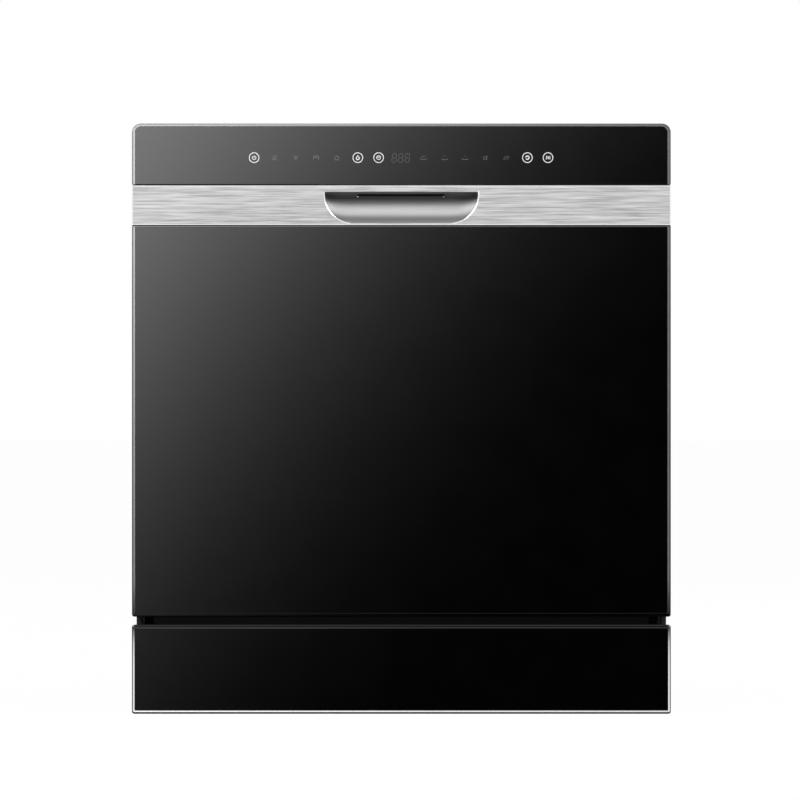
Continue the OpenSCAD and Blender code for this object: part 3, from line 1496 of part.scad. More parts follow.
// The arms on the door: an upright screwed inside the frame, a bore for the pin, and the spring's tail.
module hinge_arms() {
    color(steel) both_sides() {
        difference() {
            rib(arm_x, arm_x + arm_sheet) union() {
                translate([hinge_y, hinge_z]) circle(r = boss_r);
                polygon([
                    [hinge_y - boss_r + 1, hinge_z + 4], [hinge_y + boss_r, hinge_z + 4],
                    [hinge_y + 14, hinge_z + 30], [hinge_y + 14, hinge_z + arm_up],
                        [hinge_y - boss_r + 3, hinge_z + arm_up],
                    [hinge_y - boss_r + 3, hinge_z + 20]]);
                translate([hinge_y, hinge_z - tail_half]) square([tail_l, 2 * tail_half]);
                translate([tail_y, hinge_z]) circle(r = tail_half);
            }
            rod_x(arm_x - 1, arm_x + arm_sheet + 1, hinge_y, hinge_z, hinge_pin_r + run);
            rod_x(arm_x - 1, arm_x + arm_sheet + 1, tail_y, hinge_z, tail_hole_r);
        }
        block(arm_x, hollow_x - seat, hinge_y + 12, hinge_y + 14, hinge_z + 40, hinge_z + arm_up);
    }
}

// A point of the spring's centre line, with the direction that its section's first side faces.
// The wire goes round the upper loop, down the coils and round the lower loop.
function loop_points(cz, flip) = [for (a = [-150:25:150])
    [[loop_r * sin(a) * flip, 0, cz + flip * loop_r * cos(a)], [sin(a) * flip, 0, flip * cos(a)]]];
function coil_points(z_top, z_low) = [for (i = [0:spring_turns * 10 + 5]) let (a = 36 * i)
    [[loop_r * cos(a), loop_r * sin(a), z_top + (z_low - z_top) * i / (spring_turns * 10 + 5)],
        [cos(a), sin(a), 0]]];
function spring_route() = let (
        top_loop = hinge_z - loop_r,
        low_loop = anchor_z + loop_r,
        low_end = loop_points(low_loop, -1))
    concat(loop_points(top_loop, 1), coil_points(top_loop - 2 * loop_r, low_loop + 2 * loop_r), low_end);

// A tube of six sides swept along points that carry their own facing.
module swept_wire(route, r) {
    n = len(route);
    sides = 6;
    points = [for (i = [0:n - 1]) let (
            before = route[max(i - 1, 0)][0],
            after = route[min(i + 1, n - 1)][0],
            t = (after - before) / norm(after - before),
            b = cross(t, route[i][1]),
            v = b / norm(b),
            u = cross(v, t))
        for (k = [0:sides - 1]) route[i][0] + r * (u * cos(60 * k) + v * sin(60 * k))];
    walls = [for (i = [0:n - 2], k = [0:sides - 1]) let (
            a = i * sides + k, b = i * sides + (k + 1) % sides)
        each [[a, b + sides, b], [a, a + sides, b + sides]]];
    caps = [for (k = [1:sides - 2]) each [[0, k, k + 1],
        [(n - 1) * sides, (n - 1) * sides + k + 1, (n - 1) * sides + k]]];
    polyhedron(points, concat(walls, caps));
}

// The two extension springs that balance the door.
module hinge_springs() {
    color(zinc) both_sides() translate([spring_x, tail_y, 0]) swept_wire(spring_route(), spring_wire);
}

// ---------- The part ----------

base_tray();
foot_front_left();
foot_front_right();
foot_rear_left();
foot_rear_right();
plinth_panel();
side_panel_left();
side_panel_right();
top_panel();
rear_panel();
tub_wrapper();
tub_back();
tub_floor();
door_seal();
sump();
circulation_pump();
drain_pump();
water_softener();
salt_cap();
air_break_box();
inlet_valve();
drain_outlet();
cord_gland();
power_board();
hinge_brackets();
hinge_springs();
latch_strike();
spray_feed();
lower_arm_hub();
lower_spray_arm();
fine_filter();
coarse_filter();
outer_rails();
middle_rails();
upper_rack_basket();
inner_rails();
upper_arm_duct();
upper_spray_arm();
cup_shelf_left();
cup_shelf_right();
lower_rack_basket();
wheel_carriers();
front_wheels();
rear_wheels();
tine_clips();
fold_tines_front();
fold_tines_rear();
cutlery_basket();
door_frame();
door_glass();
control_glass();
edge_trim();
handle_strip();
handle_pocket();
latch_lever();
door_liner();
dispenser();
dispenser_lid();
rinse_cap();
hinge_arms();
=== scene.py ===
"""Looks of the countertop dishwasher: camera, studio, finishes and the dressed front pieces."""

import json
import math

import bmesh
import bpy
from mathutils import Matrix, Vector
from mathutils.geometry import tessellate_polygon


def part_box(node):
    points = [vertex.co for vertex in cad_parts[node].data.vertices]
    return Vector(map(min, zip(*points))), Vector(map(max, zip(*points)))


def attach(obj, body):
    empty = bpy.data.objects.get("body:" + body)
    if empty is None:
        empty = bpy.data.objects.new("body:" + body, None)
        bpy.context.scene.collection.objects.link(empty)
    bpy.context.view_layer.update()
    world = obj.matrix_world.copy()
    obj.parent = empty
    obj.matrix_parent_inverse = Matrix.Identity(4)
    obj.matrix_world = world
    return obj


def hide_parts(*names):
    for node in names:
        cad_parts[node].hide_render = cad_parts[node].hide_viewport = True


MM = 0.001

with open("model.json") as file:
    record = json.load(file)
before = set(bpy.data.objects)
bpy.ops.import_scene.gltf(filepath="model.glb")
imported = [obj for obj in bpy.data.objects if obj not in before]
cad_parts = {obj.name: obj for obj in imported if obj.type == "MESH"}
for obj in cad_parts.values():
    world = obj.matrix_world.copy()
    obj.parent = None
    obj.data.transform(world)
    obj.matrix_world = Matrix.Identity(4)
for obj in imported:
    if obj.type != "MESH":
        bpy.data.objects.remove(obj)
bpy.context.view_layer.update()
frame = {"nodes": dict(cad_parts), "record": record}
nodes = frame["nodes"]

# ---------- Measures, in millimetres ----------


def measures(node):
    """A CAD node's half width, front, lowest and highest place."""
    low, high = (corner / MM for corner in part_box(node))
    return high.x, low.y, low.z, high.z


STRIP_HALF, STRIP_Y, STRIP_LOW, STRIP_HIGH = measures("handle_strip")
_, FRAME_Y, FRAME_LOW, FRAME_HIGH = measures("door_frame")
_, _, PLINTH_LOW, PLINTH_HIGH = measures("plinth_panel")
_, GLASS_Y, _, _ = measures("door_glass")
_, _, TOUCH_LOW, _ = measures("control_glass")

# The photograph: one pixel is this many millimetres at the object's front.
PIXEL_MM = 1.0125
PHOTO_SIZE = 800
MIDDLE_PX = 401.35
TOP_PX, GROUND_PX = 123.2, 714.0

# The finger pocket in the strip: the middles and radius of its round ends, and its flat top.
POCKET_CX, POCKET_CZ, POCKET_R, POCKET_TOP = 48.5, 526.3, 29.0, 528.6


def photo_x(px):
    """Place across the object of a column of the photograph."""
    return (px - MIDDLE_PX) * PIXEL_MM


def photo_z(py):
    """Height on the object of a row of the photograph."""
    return (GROUND_PX - py) * PIXEL_MM


# ---------- Node helpers ----------

NOISE_SPAN = (0.3, 0.7)  # where most values of a noise texture lie


def bare_material(name):
    """A material with nothing but its output, and that output's surface socket."""
    mat = bpy.data.materials.new(name)
    mat.use_nodes = True
    tree = mat.node_tree
    tree.nodes.clear()
    return mat, tree, tree.nodes.new("ShaderNodeOutputMaterial").inputs["Surface"]


def new_material(name):
    """A material with one Principled shader."""
    mat, tree, surface = bare_material(name)
    shader = tree.nodes.new("ShaderNodeBsdfPrincipled")
    tree.links.new(shader.outputs["BSDF"], surface)
    return mat, tree, shader


def dress(tree, shader, colour, rough):
    """Gives the shader a colour and a roughness that vary over the surface."""
    tree.links.new(colour, shader.inputs["Base Color"])
    tree.links.new(rough, shader.inputs["Roughness"])


def math_node(tree, kind, *values):
    """The result of a Math node; each value is a number or a socket."""
    node = tree.nodes.new("ShaderNodeMath")
    node.operation = kind
    for socket, value in zip(node.inputs, values):
        if isinstance(value, (int, float)):
            socket.default_value = value
        else:
            tree.links.new(value, socket)
    return node.outputs[0]


def object_axes(tree):
    """The X, Y and Z of the object coordinates, in metres."""
    coords = tree.nodes.new("ShaderNodeTexCoord")
    split = tree.nodes.new("ShaderNodeSeparateXYZ")
    tree.links.new(coords.outputs["Object"], split.inputs[0])
    return split.outputs


def place_node(tree, scale):
    """Object coordinates scaled by scale, a number or three."""
    coords = tree.nodes.new("ShaderNodeTexCoord")
    mapping = tree.nodes.new("ShaderNodeMapping")
    mapping.inputs["Scale"].default_value = scale if hasattr(scale, "__len__") else (scale,) * 3
    tree.links.new(coords.outputs["Object"], mapping.inputs["Vector"])
    return mapping.outputs["Vector"]


def noise(tree, scale, detail, roughness=0.5):
    """A noise with scale waves in a metre."""
    texture = tree.nodes.new("ShaderNodeTexNoise")
    texture.inputs["Scale"].default_value = 1.0
    texture.inputs["Detail"].default_value = detail
    texture.inputs["Roughness"].default_value = roughness
    tree.links.new(place_node(tree, scale), texture.inputs["Vector"])
    return texture.outputs["Fac"]


def spread_to(tree, value, low, high, span=NOISE_SPAN):
    """value, mostly within span, mapped to low..high."""
    remap = tree.nodes.new("ShaderNodeMapRange")
    remap.inputs["From Min"].default_value = span[0]
    remap.inputs["From Max"].default_value = span[1]
    remap.inputs["To Min"].default_value = low
    remap.inputs["To Max"].default_value = high
    tree.links.new(value, remap.inputs["Value"])
    return remap.outputs["Result"]


def two_tone(tree, value, dark, light, span=NOISE_SPAN):
    """A colour that goes from dark to light with value."""
    ramp = tree.nodes.new("ShaderNodeValToRGB")
    ramp.color_ramp.elements[0].position = span[0]
    ramp.color_ramp.elements[1].position = span[1]
    ramp.color_ramp.elements[0].color = (*dark, 1)
    ramp.color_ramp.elements[1].color = (*light, 1)
    tree.links.new(value, ramp.inputs["Fac"])
    return ramp.outputs["Color"]


def bump(tree, shader, value, height_mm, strength):
    """Raises the surface with value, up to height_mm."""
    node = tree.nodes.new("ShaderNodeBump")
    node.inputs["Strength"].default_value = strength
    node.inputs["Distance"].default_value = height_mm * MM
    tree.links.new(value, node.inputs["Height"])
    tree.links.new(node.outputs["Normal"], shader.inputs["Normal"])


def grey(level):
    return (level, level, level)


def scaled(colour, factor):
    return tuple(channel * factor for channel in colour)


# ---------- Materials ----------

GLASS_IOR = 1.5
HAIR_SHARE = 0.35  # how much of the brushed steel's tone comes from its finest grain
ZINC_CAST = (0.97, 1.0, 1.03)


def gloss_black(name, level):
    """Back-painted black glass: nearly black, with a mirror gloss and a breath of dust."""
    mat, tree, shader = new_material(name)
    dust = noise(tree, 35, 6)
    colour = two_tone(tree, dust, grey(level * 0.6), grey(level * 1.3))
    dress(tree, shader, colour, spread_to(tree, dust, 0.025, 0.045))
    shader.inputs["IOR"].default_value = GLASS_IOR
    return mat


def brushed_steel(name, light, streak, rough, grain_mm, run_mm, along="x", metallic=1.0):
    """Steel with a grain along one axis; rough is its roughness where light and where dark."""
    mat, tree, shader = new_material(name)
    run, grain, fine = 1000 / run_mm, 1000 / grain_mm, 3200 / grain_mm

    def stretched(length, width):
        return (length, width, width) if along == "x" else (width, width, length)

    broad = noise(tree, stretched(run, grain), 3, 0.55)
    hair = noise(tree, stretched(run * 0.4, fine), 2, 0.6)
    weight = math_node(tree, "MULTIPLY", broad, 1 - HAIR_SHARE)
    blend = math_node(tree, "MULTIPLY_ADD", hair, HAIR_SHARE, weight)
    colour = two_tone(tree, blend, grey(light * (1 - streak)), grey(light * (1 + streak)))
    dress(tree, shader, colour, spread_to(tree, blend, rough[1], rough[0]))
    shader.inputs["Metallic"].default_value = metallic
    bump(tree, shader, hair, 0.01, 0.35)
    return mat


def polished(name, light, rough):
    """A bright cut edge."""
    mat, tree, shader = new_material(name)
    wear = noise(tree, 240, 3)
    colour = two_tone(tree, wear, grey(light * 0.94), grey(light * 1.04))
    dress(tree, shader, colour, spread_to(tree, wear, rough * 0.8, rough * 1.3))
    shader.inputs["Metallic"].default_value = 1.0
    return mat


def zinc(name, light, rough):
    """Zinc-plated pressed steel with its faint spangle."""
    mat, tree, shader = new_material(name)
    spangle = tree.nodes.new("ShaderNodeTexVoronoi")
    spangle.inputs["Scale"].default_value = 1.0
    tree.links.new(place_node(tree, 180), spangle.inputs["Vector"])
    tone = spread_to(tree, spangle.outputs["Distance"], 0.0, 1.0, (0.0, 0.8))
    tones = (scaled(ZINC_CAST, light * 0.86), scaled(ZINC_CAST, light * 1.1))
    colour = two_tone(tree, tone, *tones, (0, 1))
    dress(tree, shader, colour, spread_to(tree, noise(tree, 60, 5), rough - 0.08, rough + 0.1))
    shader.inputs["Metallic"].default_value = 1.0
    return mat


def moulded(name, colour, rough, grain=900, height_mm=0.02, gloss=0.5):
    """Moulded plastic with a fine spark-eroded grain and a slight shift of colour."""
    mat, tree, shader = new_material(name)
    shader.inputs["Specular IOR Level"].default_value = gloss
    drift = two_tone(tree, noise(tree, 14, 3), scaled(colour, 0.92), scaled(colour, 1.08))
    fine = noise(tree, grain, 2)
    dress(tree, shader, drift, spread_to(tree, fine, rough - 0.05, rough + 0.07))
    bump(tree, shader, fine, height_mm, 0.5)
    return mat


def painted(name, colour):
    """Powder-coated sheet steel with its orange peel."""
    mat, tree, shader = new_material(name)
    shader.inputs["Specular IOR Level"].default_value = 0.2
    drift = two_tone(tree, noise(tree, 9, 4), scaled(colour, 0.88), scaled(colour, 1.12))
    peel = noise(tree, 420, 2)
    dress(tree, shader, drift, spread_to(tree, peel, 0.49, 0.55))
    bump(tree, shader, peel, 0.05, 0.35)
    return mat


def coated_wire(name, colour):
    """Wire dipped in nylon: smooth, slightly waxy, a little uneven in thickness."""
    mat, tree, shader = new_material(name)
    flow = noise(tree, 120, 3)
    tone = two_tone(tree, flow, scaled(colour, 0.93), scaled(colour, 1.05))
    dress(tree, shader, tone, spread_to(tree, flow, 0.34, 0.46))
    bump(tree, shader, flow, 0.08, 0.4)
    return mat


def printed(name, level):
    """Ceramic ink printed on the glass, under the same gloss."""
    mat, tree, shader = new_material(name)
    ink = noise(tree, 2500, 2)
    colour = two_tone(tree, ink, grey(level * 0.94), grey(level * 1.06))
    dress(tree, shader, colour, spread_to(tree, ink, 0.03, 0.06))
    shader.inputs["IOR"].default_value = GLASS_IOR
    return mat


def tone_by_height(tree, z_span, levels):
    """A grey that goes through levels, evenly spaced from one height to another."""
    height = math_node(tree, "MULTIPLY", object_axes(tree)["Z"], 1 / MM)
    ramp = tree.nodes.new("ShaderNodeValToRGB")
    stops = ramp.color_ramp.elements
    while len(stops) < len(levels):
        stops.new(0.5)
    for i, level in enumerate(levels):
        stops[i].position = i / (len(levels) - 1)
        stops[i].color = (*grey(level), 1)
    tree.links.new(spread_to(tree, height, 0.0, 1.0, z_span), ramp.inputs["Fac"])
    return ramp.outputs["Color"]


def lacquered_edge_painted_light(name, z_span, levels, metallic, gloss=0.5):
    """A lacquered moulding with painted light and shade that change with the height."""
    mat, tree, shader = new_material(name)
    rough = spread_to(tree, noise(tree, 300, 3), 0.04, 0.08)
    dress(tree, shader, tone_by_height(tree, z_span, levels), rough)
    shader.inputs["IOR"].default_value = GLASS_IOR
    shader.inputs["Metallic"].default_value = metallic
    shader.inputs["Specular IOR Level"].default_value = gloss
    return mat


def satin_metal_painted_light(name, z_span, levels, metallic, rough):
    """Metal paint with painted light and shade that change with the height, soft enough to round
    off what it mirrors.
    """
    mat, tree, shader = new_material(name)
    flake = spread_to(tree, noise(tree, 1500, 2), rough - 0.03, rough + 0.03)
    dress(tree, shader, tone_by_height(tree, z_span, levels), flake)
    shader.inputs["Metallic"].default_value = metallic
    return mat


# Painted shadow: the tub floor's skirt, seen in the gap under the door, is painted black where it
# is both below
# SKIRT_TOP and in front of SKIRT_Y, for the shade in that gap.
SKIRT_TOP, SKIRT_Y = (103, 104), -209.5
SKIRT_FADE = 0.2
SKIRT_SHADOW_BLACK = 0.004


def skirt_painted_shadow(mat):
    """Paints shadow on the outside skirt of the tub's floor: black where the gap under the door is
    in shade.
    """
    tree = mat.node_tree
    shader = next(node for node in tree.nodes if node.type == "BSDF_PRINCIPLED")
    colour = shader.inputs["Base Color"].links[0].from_socket
    axes = object_axes(tree)
    above = spread_to(tree, axes["Z"], 0.0, 1.0, [z * MM for z in SKIRT_TOP])
    behind = spread_to(tree, axes["Y"], 0.0, 1.0, (SKIRT_Y * MM, (SKIRT_Y + SKIRT_FADE) * MM))
    mix = tree.nodes.new("ShaderNodeMixRGB")
    mix.inputs["Color1"].default_value = (*grey(SKIRT_SHADOW_BLACK), 1)
    tree.links.new(math_node(tree, "MAXIMUM", above, behind), mix.inputs["Fac"])
    tree.links.new(colour, mix.inputs["Color2"])
    tree.links.new(mix.outputs[0], shader.inputs["Base Color"])
    return mat


# Painted light and shade on the bowl of the finger pocket, every 2 mm upwards: a painted pool of
# light across its back, and painted shadow, nearly black, under its roof.
BOWL_SPAN = (497, 529)
BOWL_PAINTED_LIGHT_LEVELS = (
    0.28, 0.24, 0.19, 0.23, 0.35, 0.55, 0.7, 0.84, 0.93, 0.88, 0.69, 0.42, 0.2, 0.05, 0.04, 0.07,
    0.1,
)
FINISHES = {
    "door_glass_black": gloss_black("door_glass_black", 0.0009),
    "touch_glass_black": gloss_black("touch_glass_black", 0.0012),
    "plinth_black": gloss_black("plinth_black", 0.0009),
    "frame_black": moulded("frame_black", grey(0.01), 0.4, 700, 0.015, gloss=0.3),
    # The trim's light tone is a painted edge highlight, with painted shade darkening it over the
    # door's lowest 35 mm.
    "trim_bright": lacquered_edge_painted_light("trim_bright", (100, 135), (0.03, 0.1, 0.21), metallic=0.4),
    "strip_steel": brushed_steel(
        "strip_steel", 0.41, streak=0.5, rough=(0.38, 0.5), grain_mm=1.5, run_mm=42, metallic=0.55
    ),
    # the pocket's bowl carries painted light and shade, set by its height
    "pocket_grey": satin_metal_painted_light("pocket_grey", BOWL_SPAN, BOWL_PAINTED_LIGHT_LEVELS, metallic=0.05, rough=0.44),
    "tub_steel": brushed_steel(
        "tub_steel", 0.6, streak=0.07, rough=(0.24, 0.32), grain_mm=0.9, run_mm=60
    ),
    "cabinet_black": painted("cabinet_black", grey(0.012)),
    "base_black": moulded("base_black", grey(0.014), 0.5, 500, 0.04),
    "zinc_steel": zinc("zinc_steel", 0.6, 0.42),
    "spring_steel": brushed_steel(
        "spring_steel", 0.4, streak=0.1, rough=(0.25, 0.35), grain_mm=0.5, run_mm=8, along="z"
    ),
    "rear_steel": zinc("rear_steel", 0.62, 0.46),
    "rack_wire": coated_wire("rack_wire", (0.34, 0.37, 0.41)),
    "floor_grey": skirt_painted_shadow(moulded("floor_grey", (0.33, 0.35, 0.38), 0.42, gloss=0.15)),
    "blue_grey": moulded("blue_grey", (0.19, 0.215, 0.25), 0.4),
    "pale_plastic": moulded("pale_plastic", (0.62, 0.63, 0.63), 0.4),
    "dark_plastic": moulded("dark_plastic", grey(0.02), 0.42),
    "seal_rubber": moulded("seal_rubber", grey(0.03), 0.62, 1500, 0.03),
    "pump_metal": zinc("pump_metal", 0.42, 0.5),
    "board_green": moulded("board_green", (0.02, 0.12, 0.05), 0.35),
    "cap_blue": moulded("cap_blue", (0.03, 0.12, 0.36), 0.36),
}
NODE_PAINTED_SHADE = {"hinge_brackets": "cabinet_black"}  # painted shade: the zinc brackets turned black for the shade of the gap they sit behind
for part in frame["record"]["subparts"]:
    finish = FINISHES[NODE_PAINTED_SHADE.get(part["node"], part["material_slot"])]
    mesh = nodes[part["node"]].data
    mesh.materials.clear()
    mesh.materials.append(finish)

EDGE_BRIGHT = polished("edge_bright", 0.88, 0.12)
# The trims' rounded edge: a painted highlight that fades from the top down to near black.
EDGE_DARK = lacquered_edge_painted_light("edge_dark", (120, 600), (0.01, 0.02, 0.05, 0.14), metallic=0.5)
# The plinth's bead: a painted highlight, bright along its bottom and sides, with painted shade to
# near black along its top.
BEAD_PAINTED_LIGHT_LEVELS = (0.9, 0.88, 0.86, 0.85, 0.65, 0.02)
PLINTH_BEAD = lacquered_edge_painted_light("plinth_bead", (4, 88), BEAD_PAINTED_LIGHT_LEVELS, metallic=0.85, gloss=0.2)
# The paddle's slot: black painted shade, standing in for the dark opening.
SLOT_PAINTED_SHADE = moulded("slot_painted_shade", grey(0.004), 0.6, gloss=0.1)
INK_BRIGHT = printed("ink_bright", 0.66)
INK_DIM = printed("ink_dim", 0.085)
INK_UNLIT = printed("ink_unlit", 0.055)

# ---------- Mesh helpers ----------

BODY_DOOR = "door"
BODY_CABINET = "cabinet"
ARC_STEPS, CORNER_STEPS, BEVEL_STEPS = 28, 10, 3
LEAST_RADIUS = 0.05


def arc_points(cx, cz, radius, first, last, steps=ARC_STEPS):
    """Points (x, z) of an arc between two angles in degrees."""
    angles = [math.radians(first + (last - first) * i / steps) for i in range(steps + 1)]
    return [(cx + radius * math.cos(angle), cz + radius * math.sin(angle)) for angle in angles]


def circle_points(cx, cz, radius, steps):
    return arc_points(cx, cz, radius, 0, 360, steps)[:-1]


def soft_outline(x_half, z_low, z_high, r_low, r_high, inset=0.0):
    """Points of a rectangle with round corners, shrunk by inset; always the same number of them."""
    x_half, z_low, z_high = x_half - inset, z_low + inset, z_high - inset
    r_low, r_high = max(r_low - inset, LEAST_RADIUS), max(r_high - inset, LEAST_RADIUS)
    quarters = (
        (x_half - r_low, z_low + r_low, r_low, -90),
        (x_half - r_high, z_high - r_high, r_high, 0),
        (-x_half + r_high, z_high - r_high, r_high, 90),
        (-x_half + r_low, z_low + r_low, r_low, 180),
    )
    points = []
    for cx, cz, radius, start in quarters:
        points += arc_points(cx, cz, radius, start, start + 90, CORNER_STEPS)
    return points


def framed_outline(x_half, z_low, z_high, r_low, r_high, side, top, bottom):
    """soft_outline with an inset of its own for the sides, the top and the bottom."""
    radii = (max(r - side, LEAST_RADIUS) for r in (r_low, r_high))
    return soft_outline(x_half - side, z_low + bottom, z_high - top, *radii)


def arch_outline(x_half, z_low, z_high, radius, side, top):
    """Up the right side, over the top and down the left one, with round upper corners."""
    x_half, z_high, radius = x_half - side, z_high - top, radius - side
    points = [(x_half, z_low)]
    for cx, start in ((x_half - radius, 0), (radius - x_half, 90)):
        points += arc_points(cx, z_high - radius, radius, start, start + 90, CORNER_STEPS)
    return points + [(-x_half, z_low)]


def pocket_outline(grow):
    """Points round the finger pocket, grown by grow: flat on top, round at both lower corners."""
    radius = POCKET_R + grow
    rise = math.degrees(math.asin((POCKET_TOP + grow - POCKET_CZ) / radius))
    right = arc_points(POCKET_CX, POCKET_CZ, radius, -90, rise)
    left = arc_points(-POCKET_CX, POCKET_CZ, radius, 180 - rise, 270)
    return right + left


def bevel_rings(y_front, y_back, width, depth):
    """(inset, y) pairs from the back edge round a soft front edge."""
    rings = [(0.0, y_back)]
    for i in range(BEVEL_STEPS + 1):
        angle = math.pi / 2 * i / BEVEL_STEPS
        rings.append((width * (1 - math.cos(angle)), y_front + depth * (1 - math.sin(angle))))
    return rings


def add_ring(bm, points, y):
    """Vertices at the depth y for points (x, z)."""
    return [bm.verts.new((x * MM, y * MM, z * MM)) for x, z in points]


def bridge(bm, lower, upper, material, smooth=True, closed=True):
    """Faces between two loops; material is an index, or a rule that gives one for (x, z)."""
    count = len(lower)
    for i in range(count if closed else count - 1):
        j = (i + 1) % count
        face = bm.faces.new((lower[i], lower[j], upper[j], upper[i]))
        middle = (lower[i].co + lower[j].co) / 2 / MM
        face.material_index = material(middle.x, middle.z) if callable(material) else material
        face.smooth = smooth


def swept_band(bm, loops, bands, closed=True):
    """A hollow frame: each loop is bridged to the next and the last to the first."""
    for lower, upper, band in zip(loops, loops[1:] + loops[:1], bands):
        bridge(bm, lower, upper, band, False, closed)
    if not closed:
        for end in (0, -1):
            bm.faces.new([loop[end] for loop in loops])


def cap(bm, loops, facing_front, material=0):
    """Closes a flat region bounded by the first loop and pierced by the others."""
    flat = [v for loop in loops for v in loop]
    for triangle in tessellate_polygon([[v.co for v in loop] for loop in loops]):
        face = bm.faces.new([flat[i] for i in triangle])
        face.normal_update()
        if (face.normal.y < 0) != facing_front:
            face.normal_flip()
        face.material_index = material


def loft(bm, loops, bands=None):
    """A closed form through loops from back to front, with a material index for each band."""
    for lower, upper, band in zip(loops, loops[1:], bands or [0] * len(loops)):
        bridge(bm, lower, upper, band)
    cap(bm, [loops[0]], False)
    cap(bm, [loops[-1]], True)


def finish_piece(name, bm, materials, body, replaced=()):
    """Turns the mesh into a piece that rides on a body."""
    bmesh.ops.remove_doubles(bm, verts=bm.verts, dist=1e-7)
    bmesh.ops.recalc_face_normals(bm, faces=bm.faces)
    mesh = bpy.data.meshes.new(name)
    bm.to_mesh(mesh)
    bm.free()
    for mat in materials:
        mesh.materials.append(mat)
    piece = bpy.data.objects.new(name, mesh)
    bpy.context.scene.collection.objects.link(piece)
    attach(piece, body)
    if replaced:
        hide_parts(*replaced)


# ---------- Front panels ----------

GLASS_BEVEL = 0.35
SMALL_R, CORNER_R = 2.5, 9.0
PANE_R, PANE_SEAM_R, TRIM_SEAM_R = 1.5, 0.5, 0.4
# Where the dark rounded edge of the trim ends, and where the glass begins, from the outline.
SIDE_EDGE, SIDE_TRIM = 1.3, 3.25
TOP_EDGE, TOP_TRIM = 1.6, 2.85
SEAM_EDGE, SEAM_TRIM = 0.9, 1.25
FACE_HALF = STRIP_HALF - 0.1
PANE_HALF = FACE_HALF - SIDE_TRIM
DOOR_TOP = TOUCH_LOW - (STRIP_HIGH - STRIP_LOW) - 2 * (TOUCH_LOW - STRIP_HIGH)


def glass_pane(name, z_low, z_high, r_low, r_high, slot, node):
    """A pane with softly ground edges."""
    bm = bmesh.new()
    loops = [
        add_ring(bm, soft_outline(PANE_HALF, z_low, z_high, r_low, r_high, inset), y)
        for inset, y in bevel_rings(GLASS_Y, FRAME_Y, GLASS_BEVEL, GLASS_BEVEL)
    ]
    loft(bm, loops)
    finish_piece(name, bm, [FINISHES[slot]], BODY_DOOR, (node,))


def trim_profile(top_edge, top_trim):
    """(side, top, y) of the trim's section, from its outer back edge round to its inner one."""
    return (
        (0.0, 0.0, FRAME_Y),
        (0.0, 0.0, GLASS_Y + 0.7),
        (0.08, 0.08, GLASS_Y + 0.3),
        (0.25, top_edge * 0.25, GLASS_Y + 0.05),
        (SIDE_EDGE, top_edge, GLASS_Y),
        (SIDE_TRIM, top_trim, GLASS_Y),
        (SIDE_TRIM, top_trim, FRAME_Y),
    )


def edge_trims():
    """The mouldings round both panels: dark on the rounded edge, lighter beside the glass. The
    lighter band is a painted edge highlight, and both bands carry painted light and shade that
    change with the height.
    """
    dark, light, black = range(3)
    above_corner = FRAME_LOW + SIDE_TRIM + SMALL_R

    def glass_side(x, z):
        return light if z > above_corner else black

    def outer_side(x, z):
        beside_door = above_corner < z < DOOR_TOP - SEAM_TRIM
        return dark if beside_door or z > STRIP_HIGH else black

    bands = (outer_side,) * 4 + (glass_side,) + (outer_side,) * 2
    door_edge = (FACE_HALF, FRAME_LOW, DOOR_TOP, SMALL_R, TRIM_SEAM_R)
    bm = bmesh.new()
    door = [
        add_ring(bm, framed_outline(*door_edge, side, top, side), y)
        for side, top, y in trim_profile(SEAM_EDGE, SEAM_TRIM)
    ]
    swept_band(bm, door, bands)
    fascia = [
        add_ring(bm, arch_outline(FACE_HALF, TOUCH_LOW, FRAME_HIGH, CORNER_R, side, top), y)
        for side, top, y in trim_profile(TOP_EDGE, TOP_TRIM)
    ]
    swept_band(bm, fascia, bands, False)
    materials = [EDGE_DARK, FINISHES["trim_bright"], FINISHES["door_glass_black"]]
    finish_piece("edge_mouldings", bm, materials, BODY_DOOR, ("edge_trim",))


glass_pane(
    "door_glass_pane", FRAME_LOW + SIDE_TRIM, DOOR_TOP - SEAM_TRIM, PANE_R, PANE_SEAM_R,
    "door_glass_black", "door_glass",
)
glass_pane(
    "touch_glass_pane", TOUCH_LOW, FRAME_HIGH - TOP_TRIM, PANE_SEAM_R, CORNER_R - SIDE_TRIM,
    "touch_glass_black", "control_glass",
)
edge_trims()

# ---------- Handle strip ----------

STRIP_BEVEL, STRIP_BEVEL_DEPTH = 1.1, 0.75
RIM_BEVEL, RIM_BEVEL_DEPTH = 1.2, 0.7
STRIP_R = 0.6
SHEET = 1.2
STRIP_SEAM = 0.7  # shadow line under the fascia
RIM_ROUND_X = POCKET_CX + 4  # the pocket's rim is bright from here outwards


